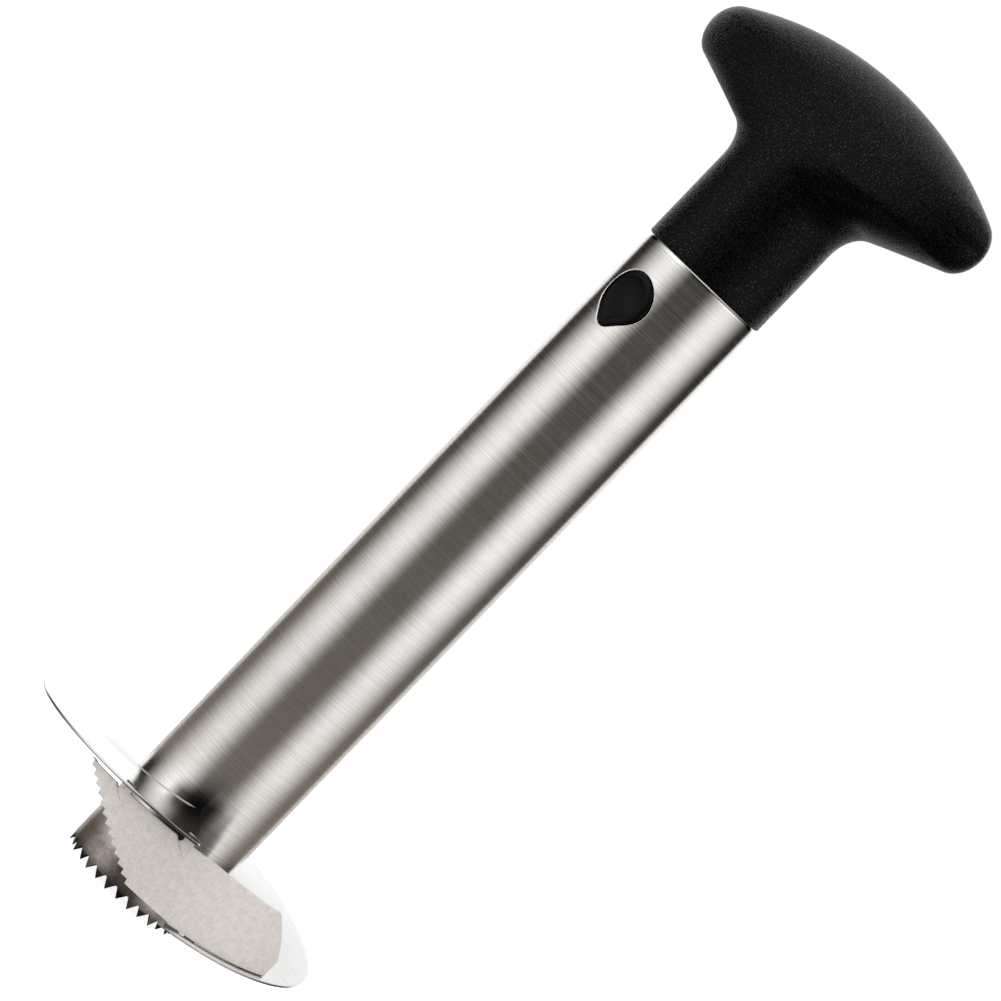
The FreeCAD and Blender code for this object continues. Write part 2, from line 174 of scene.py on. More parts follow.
class CorerSideBladeSettings(PropertyGroup):
    """Sizes of the toothed side blade."""
    radius: length("Radius", "Outside radius of the bent strip", BLADE_HIGH.x - 0.0019)
    thickness: length("Thickness", "Thickness of the sheet", 0.0007)
    upper_gap: length("Upper Gap", "Gap below the blade's upper end", 0.00105)
    lower_gap: length("Lower Gap", "Gap above the blade's lower end", 0.00015)
    crest: length("Crest Height", "Highest point of the strip", 0.0263)
    foot: length("Foot Height", "Lowest point of the strip", 0.0100)
    lead_top: angle("Leading Top", "Angle of the toothed edge's upper end", 3.4)
    lead_foot: angle("Leading Foot", "Angle of the toothed edge's lower end", 38.6)
    trail_top: angle("Trailing Top", "Angle of the plain edge's upper end", 82.0)
    trail_foot: angle("Trailing Foot", "Angle of the plain edge's lower end", 96.6)
    trail_knee: length("Trailing Knee", "Height where the plain edge turns down", 0.0166)
    trail_bow: length("Trailing Bow", "Bow of the plain edge", 0.00035)
    tooth_count: IntProperty(name="Teeth", description="Teeth on the raked edge", default=13)
    tooth_depth: length("Tooth Depth", "Depth of the notches between the teeth", 0.0009)
    relief: length("Relief Radius", "Radius of the half-round beside each upper tab", 0.0008)
    tab_width: length("Tab Width", "Width of each tab", 0.0026)
    tab_proud: length("Tab Proud", "Length of tab that stands out of its slot", 0.00025)
    tab_gap: length("Tab Gap", "Clearance of each tab in its slot", 0.0001)


class CorerGripSettings(PropertyGroup):
    """Sizes of the T-handle."""
    stem_radius: length("Stem Radius", "Radius of the round stem", 0.0162)
    height: length("Height", "Height of the grip above the tube", GRIP_HIGH.z - TUBE_HIGH.z)
    half_length: length("Half Length", "Half the length of the bar", GRIP_HIGH.x)
    half_width: length("Half Width", "Half the width of the bar", 0.0164)
    belly: length("Belly Height", "Height of the bar's widest level", 0.0441)
    end_radius: length("End Radius", "Radius of the bar's rounded ends", 0.0073)
    crown_radius: length("Crown Radius", "Radius of the bar's arched back", 0.113)
    throat_radius: length("Throat Radius", "Radius of the hollow under the bar", 0.0082)
    underside_slope: angle("Underside Slope", "Slope of the bar's underside", 15.6)
    base_round: length("Base Round", "Rounding of the stem's lower edge", 0.0005)


class CorerButtonSettings(PropertyGroup):
    """Sizes of the release buttons and their springs."""
    gap: length("Gap", "Gap between button and hole", 0.00035)
    proud: length("Proud", "Height of the button above the tube", 0.00025)
    rim: length("Rim Width", "Width of the raised rim", 0.0013)
    dish: length("Dish Depth", "Depth of the thumb dish", 0.00055)
    edge_round: length("Edge Round", "Rounding of the rim's edges", 0.00022)
    flange_radius: length("Flange Radius", "Distance of the flange's face from the axis", 0.0127)
    flange_thickness: length("Flange Thickness", "Thickness of the flange", 0.0015)
    flange_width: length("Flange Width", "Width that the flange stands out", 0.0013)
    pocket_radius: length("Pocket Radius", "Radius of the spring's pocket", 0.003)
    pocket_floor: length("Pocket Floor", "Distance of the pocket's floor from the axis", 0.0141)
    post: length("Post", "Distance of the screw post's face from the axis", 0.0042)
    travel: length("Travel", "Travel of the button when it is pressed", 0.003)
    wire: length("Wire Radius", "Radius of the spring's wire", 0.00028)
    coil: length("Coil Radius", "Radius of the spring's coil", 0.0022)
    coil_turns: IntProperty(name="Turns", description="Turns of each spring", default=4)
    spring_gap: length("Spring Gap", "Gap at each end of the spring", 0.00005)


class CorerFinishSettings(PropertyGroup):
    """Colours of the materials."""
    tube: colour("Tube", "Brushed steel of the tube", (0.96, 0.93, 0.90))
    # Heat tint of the tube below the blade, made darker to stand for the shade there: painted shade.
    foot: colour("Tube Foot", "Warm grey steel of the tube below the blade", (0.40, 0.355, 0.325))
    # Dark colour of the teeth, and the painted shade of the bore; also the colour of the painted
    # shade by the weld and on the side blade.
    teeth: colour("Teeth", "Dark ground steel of the teeth and the bore", (0.12, 0.105, 0.095))
    blade: colour("Blade", "Polished steel of the helical blade", (0.93, 0.925, 0.915))
    side: colour("Side Blade", "Satin steel of the side blade", (0.74, 0.69, 0.65))
    grip: colour("Grip", "Black plastic of the grip", (0.0012, 0.001, 0.0012))
    button: colour("Button", "Black plastic of the buttons", (0.001, 0.001, 0.0013))
    plug: colour("Plug", "Black plastic of the plug", (0.02, 0.02, 0.021))
    hardware: colour("Hardware", "Plated steel of the screw and springs", (0.62, 0.62, 0.62))
    weld: colour("Weld", "Weld bead", (0.80, 0.76, 0.72))


class CorerStageSettings(PropertyGroup):
    """Floor, camera and light."""
    floor_radius: length("Floor Radius", "Radius of the pale floor", 0.42)
    # Radius within which the floor gets painted light.
    painted_light_radius: length("Mouth", "Radius of the floor inside the tube, seen white", 0.0162)
    camera: FloatVectorProperty(name="Camera", description="Place of the camera", size=3,
                                default=(0.53313, -0.66922, 0.19147), subtype="TRANSLATION")
    azimuth: angle("Azimuth", "Turn of the view from +Y", 38.4535)
    elevation: angle("Elevation", "Tilt of the view below level", 4.7058)
    roll: angle("Roll", "Roll of the camera", 43.889)
    lens: FloatProperty(name="Lens", description="Focal length in millimetres", default=139.57)
    backdrop: FloatProperty(name="Backdrop", description="Strength of the white backdrop",
                            default=1.0, min=0)
    fill: FloatProperty(name="Fill", description="Strength of the even fill light",
                        default=0.55, min=0)


class CorerSettings(PropertyGroup):
    """All settings of the corer."""
    tube: PointerProperty(type=CorerTubeSettings)
    blade: PointerProperty(type=CorerBladeSettings)
    side: PointerProperty(type=CorerSideBladeSettings)
    grip: PointerProperty(type=CorerGripSettings)
    button: PointerProperty(type=CorerButtonSettings)
    finish: PointerProperty(type=CorerFinishSettings)
    stage: PointerProperty(type=CorerStageSettings)


UPPER_TABS = np.radians([19.9, 43.9])
LOWER_TABS = np.radians([57.4, 64.5, 87.9])


def polar(radius, turn, height):
    """Points at a radius, a turn and a height: the turn starts at -Y and grows towards +X."""
    parts = np.broadcast_arrays(radius * np.sin(turn), -radius * np.cos(turn), height)
    return np.stack(parts, axis=-1)


def circle(count):
    """Turns of the points of a closed circle."""
    return np.linspace(0, FULL_TURN, count, endpoint=False)


def quarter(count):
    """Turns of the points of a quarter circle."""
    return np.linspace(0, math.pi / 2, count)


def steps(count):
    """Equal steps from 0 to 1."""
    return np.linspace(0, 1, count)


def smooth_step(low, high, value):
    """Smooth rise from 0 at low to 1 at high: thrice the share squared less twice its cube."""
    share = np.clip((value - low) / (high - low), 0, 1)
    return share * share * (3 - 2 * share)


def sheet_faces(kept, closed):
    """Faces of a closed sheet between two equal point grids, the first of which faces out.

    kept says which cells between the grid lines are solid. Each of them has a face on both
    grids, and a wall joins the grids wherever a kept cell has no kept neighbour.
    """
    rows = kept.shape[0] + 1
    columns = kept.shape[1] + (0 if closed else 1)
    number = np.arange(rows * columns).reshape(rows, columns)
    around = np.pad(kept, 1)
    if closed:
        number = np.concatenate([number, number[:, :1]], axis=1)
        around[:, 0] = around[:, -2]
        around[:, -1] = around[:, 1]
    corners = [number[:-1, :-1], number[:-1, 1:], number[1:, 1:], number[1:, :-1]]
    beside = [around[:-2, 1:-1], around[1:-1, 2:], around[2:, 1:-1], around[1:-1, :-2]]
    far = rows * columns
    faces = [np.stack(corners, axis=-1)[kept], np.stack(corners[::-1], axis=-1)[kept] + far]
    for side in range(4):
        start = corners[side]
        end = corners[(side + 1) % 4]
        wall = np.stack([end, start, start + far, end + far], axis=-1)
        faces.append(wall[kept & ~beside[side]])
    return np.concatenate(faces)


def sheet(outer, inner, kept, closed=False):
    """Points and faces of the sheet between two point grids."""
    points = np.concatenate([outer.reshape(-1, 3), inner.reshape(-1, 3)])
    return points, sheet_faces(kept, closed)


def rings(points):
    """Points and faces of a skin of closed rings, one for each row of the point grid."""
    rows, columns = points.shape[:2]
    number = np.arange(rows * columns).reshape(rows, columns)
    after = np.roll(number, -1, axis=1)
    faces = np.stack([number[:-1], after[:-1], after[1:], number[1:]], axis=-1)
    return points.reshape(-1, 3), faces.reshape(-1, 4)


def capped(points, ends):
    """Points and faces of closed rings whose two ends are drawn together to a point each."""
    ends = np.repeat(ends, points.shape[1], axis=1)
    return rings(np.concatenate([ends[:1], points, ends[1:]]))


def joined(parts):
    """Points and faces of several parts as one."""
    points = []
    faces = []
    count = 0
    for part_points, part_faces in parts:
        points.append(part_points)
        faces.append(part_faces + count)
        count += len(part_points)
    return np.concatenate(points), np.concatenate(faces)


def build_mesh(name, points, faces, sharp=35):
    """Smooth mesh: equal points are welded, and a quad that loses a corner is a triangle."""
    places, welded = np.unique(np.round(points, 9), axis=0, return_inverse=True)
    faces = welded.reshape(-1)[faces]
    repeated = faces == np.roll(faces, -1, axis=1)
    quads = faces[~repeated.any(axis=1)]
    once = repeated.sum(axis=1) == 1
    triangles = np.concatenate([np.delete(faces[once & repeated[:, corner]], corner, axis=1)
                                for corner in range(4)])
    corners = np.concatenate([quads.ravel(), triangles.ravel()])
    used, corners = np.unique(corners, return_inverse=True)
    sizes = np.repeat([4, 3], [len(quads), len(triangles)])
    starts = np.cumsum(sizes) - sizes
    mesh = bpy.data.meshes.new(name)
    mesh.vertices.add(len(used))
    mesh.vertices.foreach_set("co", places[used].astype(np.float32).ravel())
    mesh.loops.add(len(corners))
    mesh.loops.foreach_set("vertex_index", corners.reshape(-1).astype(np.int32))
    mesh.polygons.add(len(sizes))
    mesh.polygons.foreach_set("loop_start", starts.astype(np.int32))
    mesh.update(calc_edges=True)
    mesh.validate()
    mesh.shade_smooth()
    mesh.set_sharp_from_angle(angle=math.radians(sharp))
    return mesh


def new_object(name, data):
    """Object of a mesh, a lamp or a camera in the scene."""
    item = bpy.data.objects.new(name, data)
    bpy.context.scene.collection.objects.link(item)
    return item


def add_piece(name, surface, material, body="corer", replaced=(), sharp=35):
    """Object of a surface that rides on a body and stands for the named nodes."""
    mesh = build_mesh(name, *surface, sharp)
    mesh.materials.append(finishes()[material])
    piece = new_object(name, mesh)
    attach(piece, body)
    if replaced:
        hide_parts(*replaced)
    return piece


def teardrop(tube, direction, grow=0.0):
    """Outline of the teardrop hole, moved out by grow, at directions seen from its middle.

    The outline is the hull of a large circle above a small one. Along each direction the
    ray from the middle leaves it through the large arc, a straight flank or the small arc.
    """
    big = tube.round_radius + grow
    small = tube.point_radius + grow
    round_level = hole_round_level(tube)
    point_level = round_level - tube.hole_distance
    middle = hole_middle(tube)
    normal_z = (small - big) / tube.hole_distance
    normal_x = math.sqrt(1 - normal_z ** 2)
    across = np.cos(direction)
    up = np.sin(direction)

    def leave(level, radius):
        offset = level - middle
        along = up * offset
        root = along ** 2 - offset ** 2 + radius ** 2
        return along + np.sqrt(np.maximum(root, 0)), root > 0

    to_big, meets_big = leave(round_level, big)
    to_small, meets_small = leave(point_level, small)
    flank = normal_x * np.abs(across) + normal_z * up
    to_flank = (big + normal_z * (round_level - middle)) / np.where(flank > 0.01, flank, 1)
    on_big = meets_big & ((middle + to_big * up - round_level) / big >= normal_z)
    on_small = meets_small & ((middle + to_small * up - point_level) / small <= normal_z)
    reach = np.where(on_big, to_big, np.where(on_small, to_small, to_flank))
    return reach * across, middle + reach * up


def hole_round_level(tube):
    """Height of the centre of the teardrop hole's round end."""
    return tube.top - tube.hole_below_top - tube.round_radius


def hole_middle(tube):
    """Height of the middle of the teardrop hole."""
    top = tube.top - tube.hole_below_top
    bottom = hole_round_level(tube) - tube.hole_distance - tube.point_radius
    return (top + bottom) / 2


def hole_patch(tube, radius, bevel):
    """Turn, height and sinking of the grid round a hole, on a wall of the given radius.

    The patch is a square of grid lines. Squares about its middle change gradually from the
    patch's straight border to the teardrop grown by the bevel, which the first ring of
    points outside the hole follows. The ring inside it is the teardrop, sunk by the bevel.
    """
    column = np.arange(-PATCH_HALF_COLUMNS, PATCH_HALF_COLUMNS + 1)[None, :]
    row = np.arange(-PATCH_HALF_ROWS, PATCH_HALF_ROWS + 1)[:, None]
    across = column / PATCH_HALF_COLUMNS
    up = row / PATCH_HALF_ROWS
    half_turn = PATCH_HALF_COLUMNS * FULL_TURN / (tube.tooth_count * COLUMNS_PER_TOOTH)
    size = np.maximum(np.maximum(np.abs(across), np.abs(up)), SQUARE_CENTRE)
    ring = np.maximum(np.abs(column) - HOLE_HALF_COLUMNS, np.abs(row) - HOLE_HALF_ROWS)
    border_turn = half_turn * across / size
    border_height = PATCH_HALF_HEIGHT * up / size
    direction = np.arctan2(border_height, tube.radius * border_turn)
    first = (HOLE_HALF_COLUMNS + 1) / PATCH_HALF_COLUMNS
    edge = ring <= 0
    share = np.where(ring > 1, np.clip((size - first) / (1 - first), 0, 1), 0)
    x, z = teardrop(tube, direction, bevel)
    edge_x, edge_z = teardrop(tube, direction)
    turn = np.arcsin(x / radius) * (1 - share) + border_turn * share
    height = z * (1 - share) + (hole_middle(tube) + border_height) * share
    turn = np.where(edge, np.arcsin(edge_x / (radius - bevel)), turn)
    height = np.where(edge, edge_z, height)
    return turn, height, np.where(edge, bevel, 0)


def tube_surface(tube):
    """Coring tube: a wall between two grids of turn and height.

    The lowest row follows the saw teeth, a ramp from each gap to the next tip. The rows near
    it spread evenly, the wall thins there on the outside and the inside in turn, and the
    highest rows follow the rounded lip. Round each hole the grid bends to the teardrop.
    """
    columns = tube.tooth_count * COLUMNS_PER_TOOTH
    turn = np.arange(columns) * FULL_TURN / columns
    pitch = FULL_TURN / tube.tooth_count
    from_gap = np.abs((turn + pitch / 2) % pitch - pitch / 2)
    half_pitch = math.pi * tube.radius / tube.tooth_count
    ramp = (half_pitch - tube.radius * np.sin(from_gap)) / (half_pitch - tube.tooth_root / 2)
    bend = tube.root_round
    rounded = 1 - (1 + bend - ramp) ** 2 / (4 * bend)
    low = tube.tooth_depth * np.where(np.abs(ramp - 1) < bend, rounded, np.clip(ramp, 0, 1))
    bore = tube.radius - tube.wall
    tooth_top = TOOTHED_SHARE * tube.tooth_depth
    middle = hole_middle(tube)
    hole_low = middle - PATCH_HALF_HEIGHT
    hole_high = middle + PATCH_HALF_HEIGHT
    turn_in = quarter(QUARTER_POINTS)
    share = steps(TOOTH_ROWS + 1)[:-1, None]
    plain = np.concatenate([
        np.linspace(tooth_top, hole_low, PLAIN_ROWS + 1)[:-1],
        np.linspace(hole_low, hole_high, 2 * PATCH_HALF_ROWS + 1),
        tube.top - tube.lip_height + tube.lip_height * np.sin(turn_in),
    ])[:, None]
    height = np.concatenate([low + (tooth_top - low) * share, plain + 0 * low])
    outside = np.full_like(height, tube.radius)
    outside[-len(turn_in):] -= (tube.lip * (1 - np.cos(turn_in)))[:, None]
    inside = np.full_like(height, bore)
    ground = height / tube.bevel_height
    odd_tooth = np.floor(turn / pitch + 1e-6) % 2 == 1
    sharp = bore + tube.tip_thickness
    blunt = tube.radius - tube.tip_thickness
    near_tip = height < tube.bevel_height
    outside = np.where(near_tip & odd_tooth, sharp + (tube.radius - sharp) * ground, outside)
    inside = np.where(near_tip & ~odd_tooth, blunt - (blunt - bore) * ground, inside)
    kept = np.ones((height.shape[0] - 1, columns), bool)
    centre_row = TOOTH_ROWS + PLAIN_ROWS + PATCH_HALF_ROWS
    rows = centre_row + np.arange(-PATCH_HALF_ROWS, PATCH_HALF_ROWS + 1)[:, None]
    cut_rows = centre_row + np.arange(-HOLE_HALF_ROWS, HOLE_HALF_ROWS)
    grids = []
    for wall, radius, bevel in ((outside, tube.radius, tube.hole_bevel), (inside, bore, 0)):
        turns = np.broadcast_to(turn, height.shape).copy()
        heights = height.copy()
        patch_turn, patch_height, sunk = hole_patch(tube, radius, bevel)
        for side in (0, columns // 2):
            places = (side + np.arange(-PATCH_HALF_COLUMNS, PATCH_HALF_COLUMNS + 1)) % columns
            turns[rows, places[None, :]] = patch_turn + side * FULL_TURN / columns
            heights[rows, places[None, :]] = patch_height
            wall[rows, places[None, :]] -= sunk
            cut = (side + np.arange(-HOLE_HALF_COLUMNS, HOLE_HALF_COLUMNS)) % columns
            kept[cut_rows[:, None], cut[None, :]] = False
        grids.append(polar(wall, turns, heights))
    return sheet(grids[0], grids[1], kept, closed=True)


def blade_level(blade, turn):
    """Height of the helical blade: a steady rise with one slight wave."""
    share = (turn - blade.start) / blade.sweep
    return blade.foot + blade.rise * share + blade.wave * np.sin(FULL_TURN * share)


def tab_half_turn(side, clearance=0.0):
    """Half the angle that a tab of the side blade takes up."""
    return (side.tab_width / 2 + clearance) / side.radius


def blade_surface(blade, side, tube):
    """Helical blade: a sheet over turn and radius that rises as blade_level says.

    Its rim is a half-round, its first few degrees are ground thin from above, its last
    ones shear back towards the tube, and the tabs' slots are left out of the grid.
    """
    end = blade.start + blade.sweep
    centres = np.concatenate([UPPER_TABS + FULL_TURN, LOWER_TABS])
    half = tab_half_turn(side, side.tab_gap)
    slot_low = side.radius - side.thickness - side.tab_gap
    slot_high = side.radius + side.tab_gap
    inner = tube.radius + blade.seat_gap
    rim = blade.thickness / 2
    bend = quarter(RIM_POINTS)
    radii = np.unique(np.concatenate([
        np.linspace(inner, blade.radius - rim, BLADE_RINGS), [slot_low, slot_high],
        blade.radius - rim + rim * np.sin(bend),
    ]))[:, None]
    turns = np.unique(np.round(np.concatenate([
        np.linspace(blade.start, blade.start + blade.ground_angle, GROUND_COLUMNS),
        np.linspace(blade.start, end, BLADE_COLUMNS), centres - half, centres + half,
    ]), 9))[None, :]
    past = np.clip((radii - blade.radius + rim) / rim, 0, 1)
    half_thickness = blade.thickness / 2 * np.sqrt(1 - RIM_FULLNESS * past ** 2)
    from_rim = (blade.radius - radii) / (blade.radius - inner)
    near_end = smooth_step(end - SHEAR_ANGLE, end, turns) ** 2
    sheared = turns - blade.trail_skew * from_rim * near_end
    level = blade_level(blade, turns)
    ground = np.clip((turns - blade.start) / blade.ground_angle, 0, 1)
    left = blade.ground_thickness + (blade.thickness - blade.ground_thickness) * ground
    upper = np.minimum(level + half_thickness, level - blade.thickness / 2 + left)
    lower = level - half_thickness
    across = (radii[:-1] + radii[1:]) / 2
    along = (turns[:, :-1] + turns[:, 1:]) / 2
    kept = np.ones((len(radii) - 1, turns.size - 1), bool)
    for centre in centres:
        slot = (np.abs(along - centre) < half) & (across > slot_low) & (across < slot_high)
        kept &= ~slot
    return sheet(polar(radii, sheared, lower), polar(radii, sheared, upper), kept)


def weld_surface(blade, tube):
    """Weld bead: a small quarter-round carried along the blade's inner edge, with ripples."""
    turns = np.linspace(blade.start + blade.ground_angle, blade.start + WELD_SHARE * blade.sweep,
                        WELD_SECTIONS)
    bend = quarter(QUARTER_POINTS)[None, :]
    ripple = 1 + sum(share * np.sin(turns * waves) for share, waves in WELD_RIPPLES)
    size = (blade.weld_radius * ripple)[:, None]
    level = (blade_level(blade, turns) + blade.thickness / 2)[:, None]
    size = size * (1 - WELD_HOLLOW * np.sin(2 * bend))
    out = tube.radius + size * np.sin(bend)
    up = level + size * np.cos(bend)
    corner = np.stack([np.full_like(level, tube.radius), level], axis=-1)
    skin = np.stack(np.broadcast_arrays(out, up), axis=-1)
    section = np.concatenate([corner, skin], axis=1)
    points = polar(section[..., 0], turns[:, None], section[..., 1])
    return capped(points, points[[0, -1], :1])


def side_blade_surface(side, blade):
    """Side blade: a bent strip over turn and height, blended between its four edges.

    The lower and upper edges follow the helical blade, the leading edge is a straight rake
    with notches, and the trailing edge is bowed. The blend adds the two edge-to-edge
    mixtures and takes the corners' mixture away, and the notches fade out into the strip.
    """
    def top_law(turn):
        law = blade_level(blade, turn + FULL_TURN) - blade.thickness / 2 - side.upper_gap
        return np.minimum(law, side.crest)

    def foot_law(turn):
        law = blade_level(blade, turn) + blade.thickness / 2 + side.lower_gap
        return np.maximum(law, side.foot)

    reliefs = UPPER_TABS - (side.tab_width / 2 + side.relief) / side.radius
    relief_share = (reliefs - side.lead_top) / (side.trail_top - side.lead_top)
    relief_half = side.relief / side.radius / (side.trail_top - side.lead_top)
    fine = np.sin(np.linspace(-math.pi / 2, math.pi / 2, 13)) * relief_half * 1.001
    along = np.unique(np.round(np.concatenate([
        np.linspace(0, LEAD_SHARE, 9), np.linspace(LEAD_SHARE, 1, SIDE_COLUMNS),
        (relief_share[:, None] + fine).ravel(),
    ]), 4))[None, :]
    knee_share = KNEE_TEETH / side.tooth_count
    up = steps(side.tooth_count * SIDE_TOOTH_ROWS + 1)[:, None]
    lead_top = top_law(np.array(side.lead_top))
    lead_turn = side.lead_foot + (side.lead_top - side.lead_foot) * up
    lead_height = side.foot + (lead_top - side.foot) * up
    trail_low = foot_law(np.array(side.trail_foot))
    past_knee = np.clip((up - knee_share) / (1 - knee_share), 0, 1)
    trail_turn = side.trail_foot + (side.trail_top - side.trail_foot) * past_knee
    below_knee = trail_low + (side.trail_knee - trail_low) * np.minimum(up / knee_share, 1)
    trail_height = (below_knee + (side.crest - side.trail_knee) * past_knee
                    + side.trail_bow * np.sin(math.pi * past_knee))
    foot_turn = side.lead_foot + (side.trail_foot - side.lead_foot) * along
    top_turn = side.lead_top + (side.trail_top - side.lead_top) * along

    def blend(lead, trail, foot, top):
        sides = lead * (1 - along) + trail * along
        ends = foot * (1 - up) + top * up
        corners = (foot[:, :1] * (1 - along) * (1 - up) + foot[:, -1:] * along * (1 - up)
                   + top[:, :1] * (1 - along) * up + top[:, -1:] * along * up)
        return sides + ends - corners

    turn = blend(lead_turn, trail_turn, foot_turn, top_turn)
    height = blend(lead_height, trail_height, foot_law(foot_turn), top_law(top_turn))
    run = side.radius * (side.lead_foot - side.lead_top)
    drop = lead_top - side.foot
    rake = math.hypot(run, drop)
    place = np.abs((up * side.tooth_count) % 1 - 0.5)
    notch = side.tooth_depth * np.clip((0.5 - place) / NOTCH_FLANK, 0, 1)
    notch = notch * (1 - smooth_step(0, NOTCH_FADE, along))
    turn = turn + notch * drop / rake / side.radius
    height = height + notch * run / rake
    from_relief = (top_turn[..., None] - reliefs) * side.radius
    dip = np.sqrt(np.maximum(side.relief ** 2 - from_relief ** 2, 0)).sum(axis=-1)
    height = height - dip * smooth_step(RELIEF_FADE, 1, up)
    kept = np.ones((up.size - 1, along.size - 1), bool)
    inner = side.radius - side.thickness
    parts = [sheet(polar(side.radius, turn, height), polar(inner, turn, height), kept)]
    half = tab_half_turn(side)
    shares = np.linspace(-1, 1, 5)[None, :]
    levels = steps(3)[:, None]
    for centre in np.concatenate([UPPER_TABS, LOWER_TABS]):
        turn = centre + half * shares
        if centre in UPPER_TABS:
            high = blade_level(blade, centre + FULL_TURN) + blade.thickness / 2 + side.tab_proud
            low = high - blade.thickness - side.tab_proud - 2 * side.upper_gap
        else:
            low = blade_level(blade, centre) - blade.thickness / 2 - side.tab_proud
            high = low + blade.thickness + side.tab_proud + side.lower_gap + side.tab_width / 2
        height = low + (high - low) * levels
        parts.append(sheet(polar(side.radius - TAB_INSET, turn, height),
                           polar(inner + TAB_INSET, turn, height), np.ones((2, 4), bool)))
    return joined(parts)


def arc(centre_x, centre_z, radius, start, end, count):
    """Half-lengths and heights along an arc of the grip's front outline."""
    turn = np.linspace(start, end, count)
    return centre_x + radius * np.cos(turn), centre_z + radius * np.sin(turn)


def grip_surface(grip, tube):
    """T-handle: level ovals whose half-length follows the front outline of the T.

    The outline goes up the stem, through a hollow throat, along the straight underside,
    round the bar's end and over the arched crown, all in tangents. The half-width swells
    as a sine from the stem to the belly and closes above it as an ellipse.
    """
    slope = grip.underside_slope
    end_x = grip.half_length - grip.end_radius
    crown_z = grip.height - grip.crown_radius
    end_z = crown_z + math.sqrt((grip.crown_radius - grip.end_radius) ** 2 - end_x ** 2)
    low_x = end_x + grip.end_radius * math.sin(slope)
    low_z = end_z - grip.end_radius * math.cos(slope)
    meet_z = low_z - (low_x - grip.stem_radius) * math.tan(slope)
    throat_x = grip.stem_radius + grip.throat_radius
    throat_z = meet_z - grip.throat_radius * math.tan((math.pi / 2 - slope) / 2)
    end_turn = math.atan2(end_z - crown_z, end_x)
    foot_x = grip.stem_radius - grip.base_round
    stretches = [
        (np.array([0, foot_x * 0.9]), np.array([0, 0])),
        arc(foot_x, grip.base_round, grip.base_round, -math.pi / 2, 0, 8),
        (np.full(30, grip.stem_radius), np.linspace(grip.base_round, throat_z, 32)[1:-1]),
        arc(throat_x, throat_z, grip.throat_radius, math.pi, math.pi / 2 + slope, 24),
        arc(end_x, end_z, grip.end_radius, slope - math.pi / 2, end_turn, 40),
        arc(0, crown_z, grip.crown_radius, end_turn, math.pi / 2, 70),
    ]
    half_length = np.concatenate([stretch[0] for stretch in stretches])
    height = np.concatenate([stretch[1] for stretch in stretches])
    swell = np.clip((height - throat_z) / (grip.belly - throat_z), 0, 1)
    below = grip.stem_radius + (grip.half_width - grip.stem_radius) * np.sin(math.pi / 2 * swell)
    rise = np.clip((height - grip.belly) / (grip.height - grip.belly), 0, 1)
    half_width = np.where(height < grip.belly, below, grip.half_width * np.sqrt(1 - rise ** 2))
    half_width = np.where(height < throat_z, half_length, half_width)
    turn = circle(ROUND_COLUMNS)[None, :]
    points = np.stack(np.broadcast_arrays(
        half_length[:, None] * np.cos(turn), half_width[:, None] * np.sin(turn),
        tube.top + height[:, None]), axis=-1)
    return rings(points)


def button_surface(button, tube, side):
    """Release button: rings of the teardrop outline, from the dish over the rim to the pocket.

    Each ring is the outline moved in or out, or drawn together towards its middle, and laid
    on a cylinder about the tube's axis. side is 1 for the front button and -1 for the back.
    """
    direction = circle(ROUND_COLUMNS)
    middle = hole_middle(tube)
    face = tube.radius + button.proud
    step = button.edge_round
    rows = []

    def ring(grow, radius, scale=1.0):
        x, z = teardrop(tube, direction, grow)
        x = x * scale
        z = middle + (z - middle) * scale
        rows.append(np.stack([x, -np.sqrt(radius ** 2 - x ** 2), z], axis=-1))

    rim_inside = -button.gap - button.rim
    for scale in steps(DISH_RINGS):
        ring(rim_inside, face - button.dish * (1 - scale ** DISH_POWER), scale)
    ring(rim_inside + 0.15 * button.rim, face)
    for turn in quarter(RIM_POINTS):
        ring(-button.gap - step + step * math.sin(turn), face - step + step * math.cos(turn))
    back = button.flange_radius - button.flange_thickness
    ring(-button.gap, button.flange_radius)
    ring(button.flange_width, button.flange_radius)
    ring(button.flange_width, back)
    level = hole_round_level(tube)
    for radius, depth in ((1, None), (1, button.pocket_floor), (0, button.pocket_floor)):
        x = button.pocket_radius * radius * np.cos(direction)
        z = level + button.pocket_radius * radius * np.sin(direction)
        y = -np.sqrt(back ** 2 - x ** 2) if depth is None else np.full_like(x, -depth)
        rows.append(np.stack([x, y, z], axis=-1))
    points = np.stack(rows)
    points[..., :2] *= side
    return rings(points)


def spring_surface(button, tube, side):
    """Coil spring: a round wire carried along a helix about an axis that lies along Y."""
    start = button.pocket_floor - button.spring_gap - button.wire
    end = button.post + button.spring_gap + button.wire
    level = hole_round_level(tube)
    share = steps(button.coil_turns * COIL_SECTIONS + 1)[:, None]
    turn = FULL_TURN * button.coil_turns * share
    around = circle(WIRE_COLUMNS)[None, :]
    radius = button.coil + button.wire * np.cos(around)
    points = np.stack(np.broadcast_arrays(
        radius * np.cos(turn), -start + (start - end) * share + button.wire * np.sin(around),
        level + radius * np.sin(turn)), axis=-1)
    points[..., :2] *= side
    return capped(points, points[[0, -1]].mean(axis=1, keepdims=True))


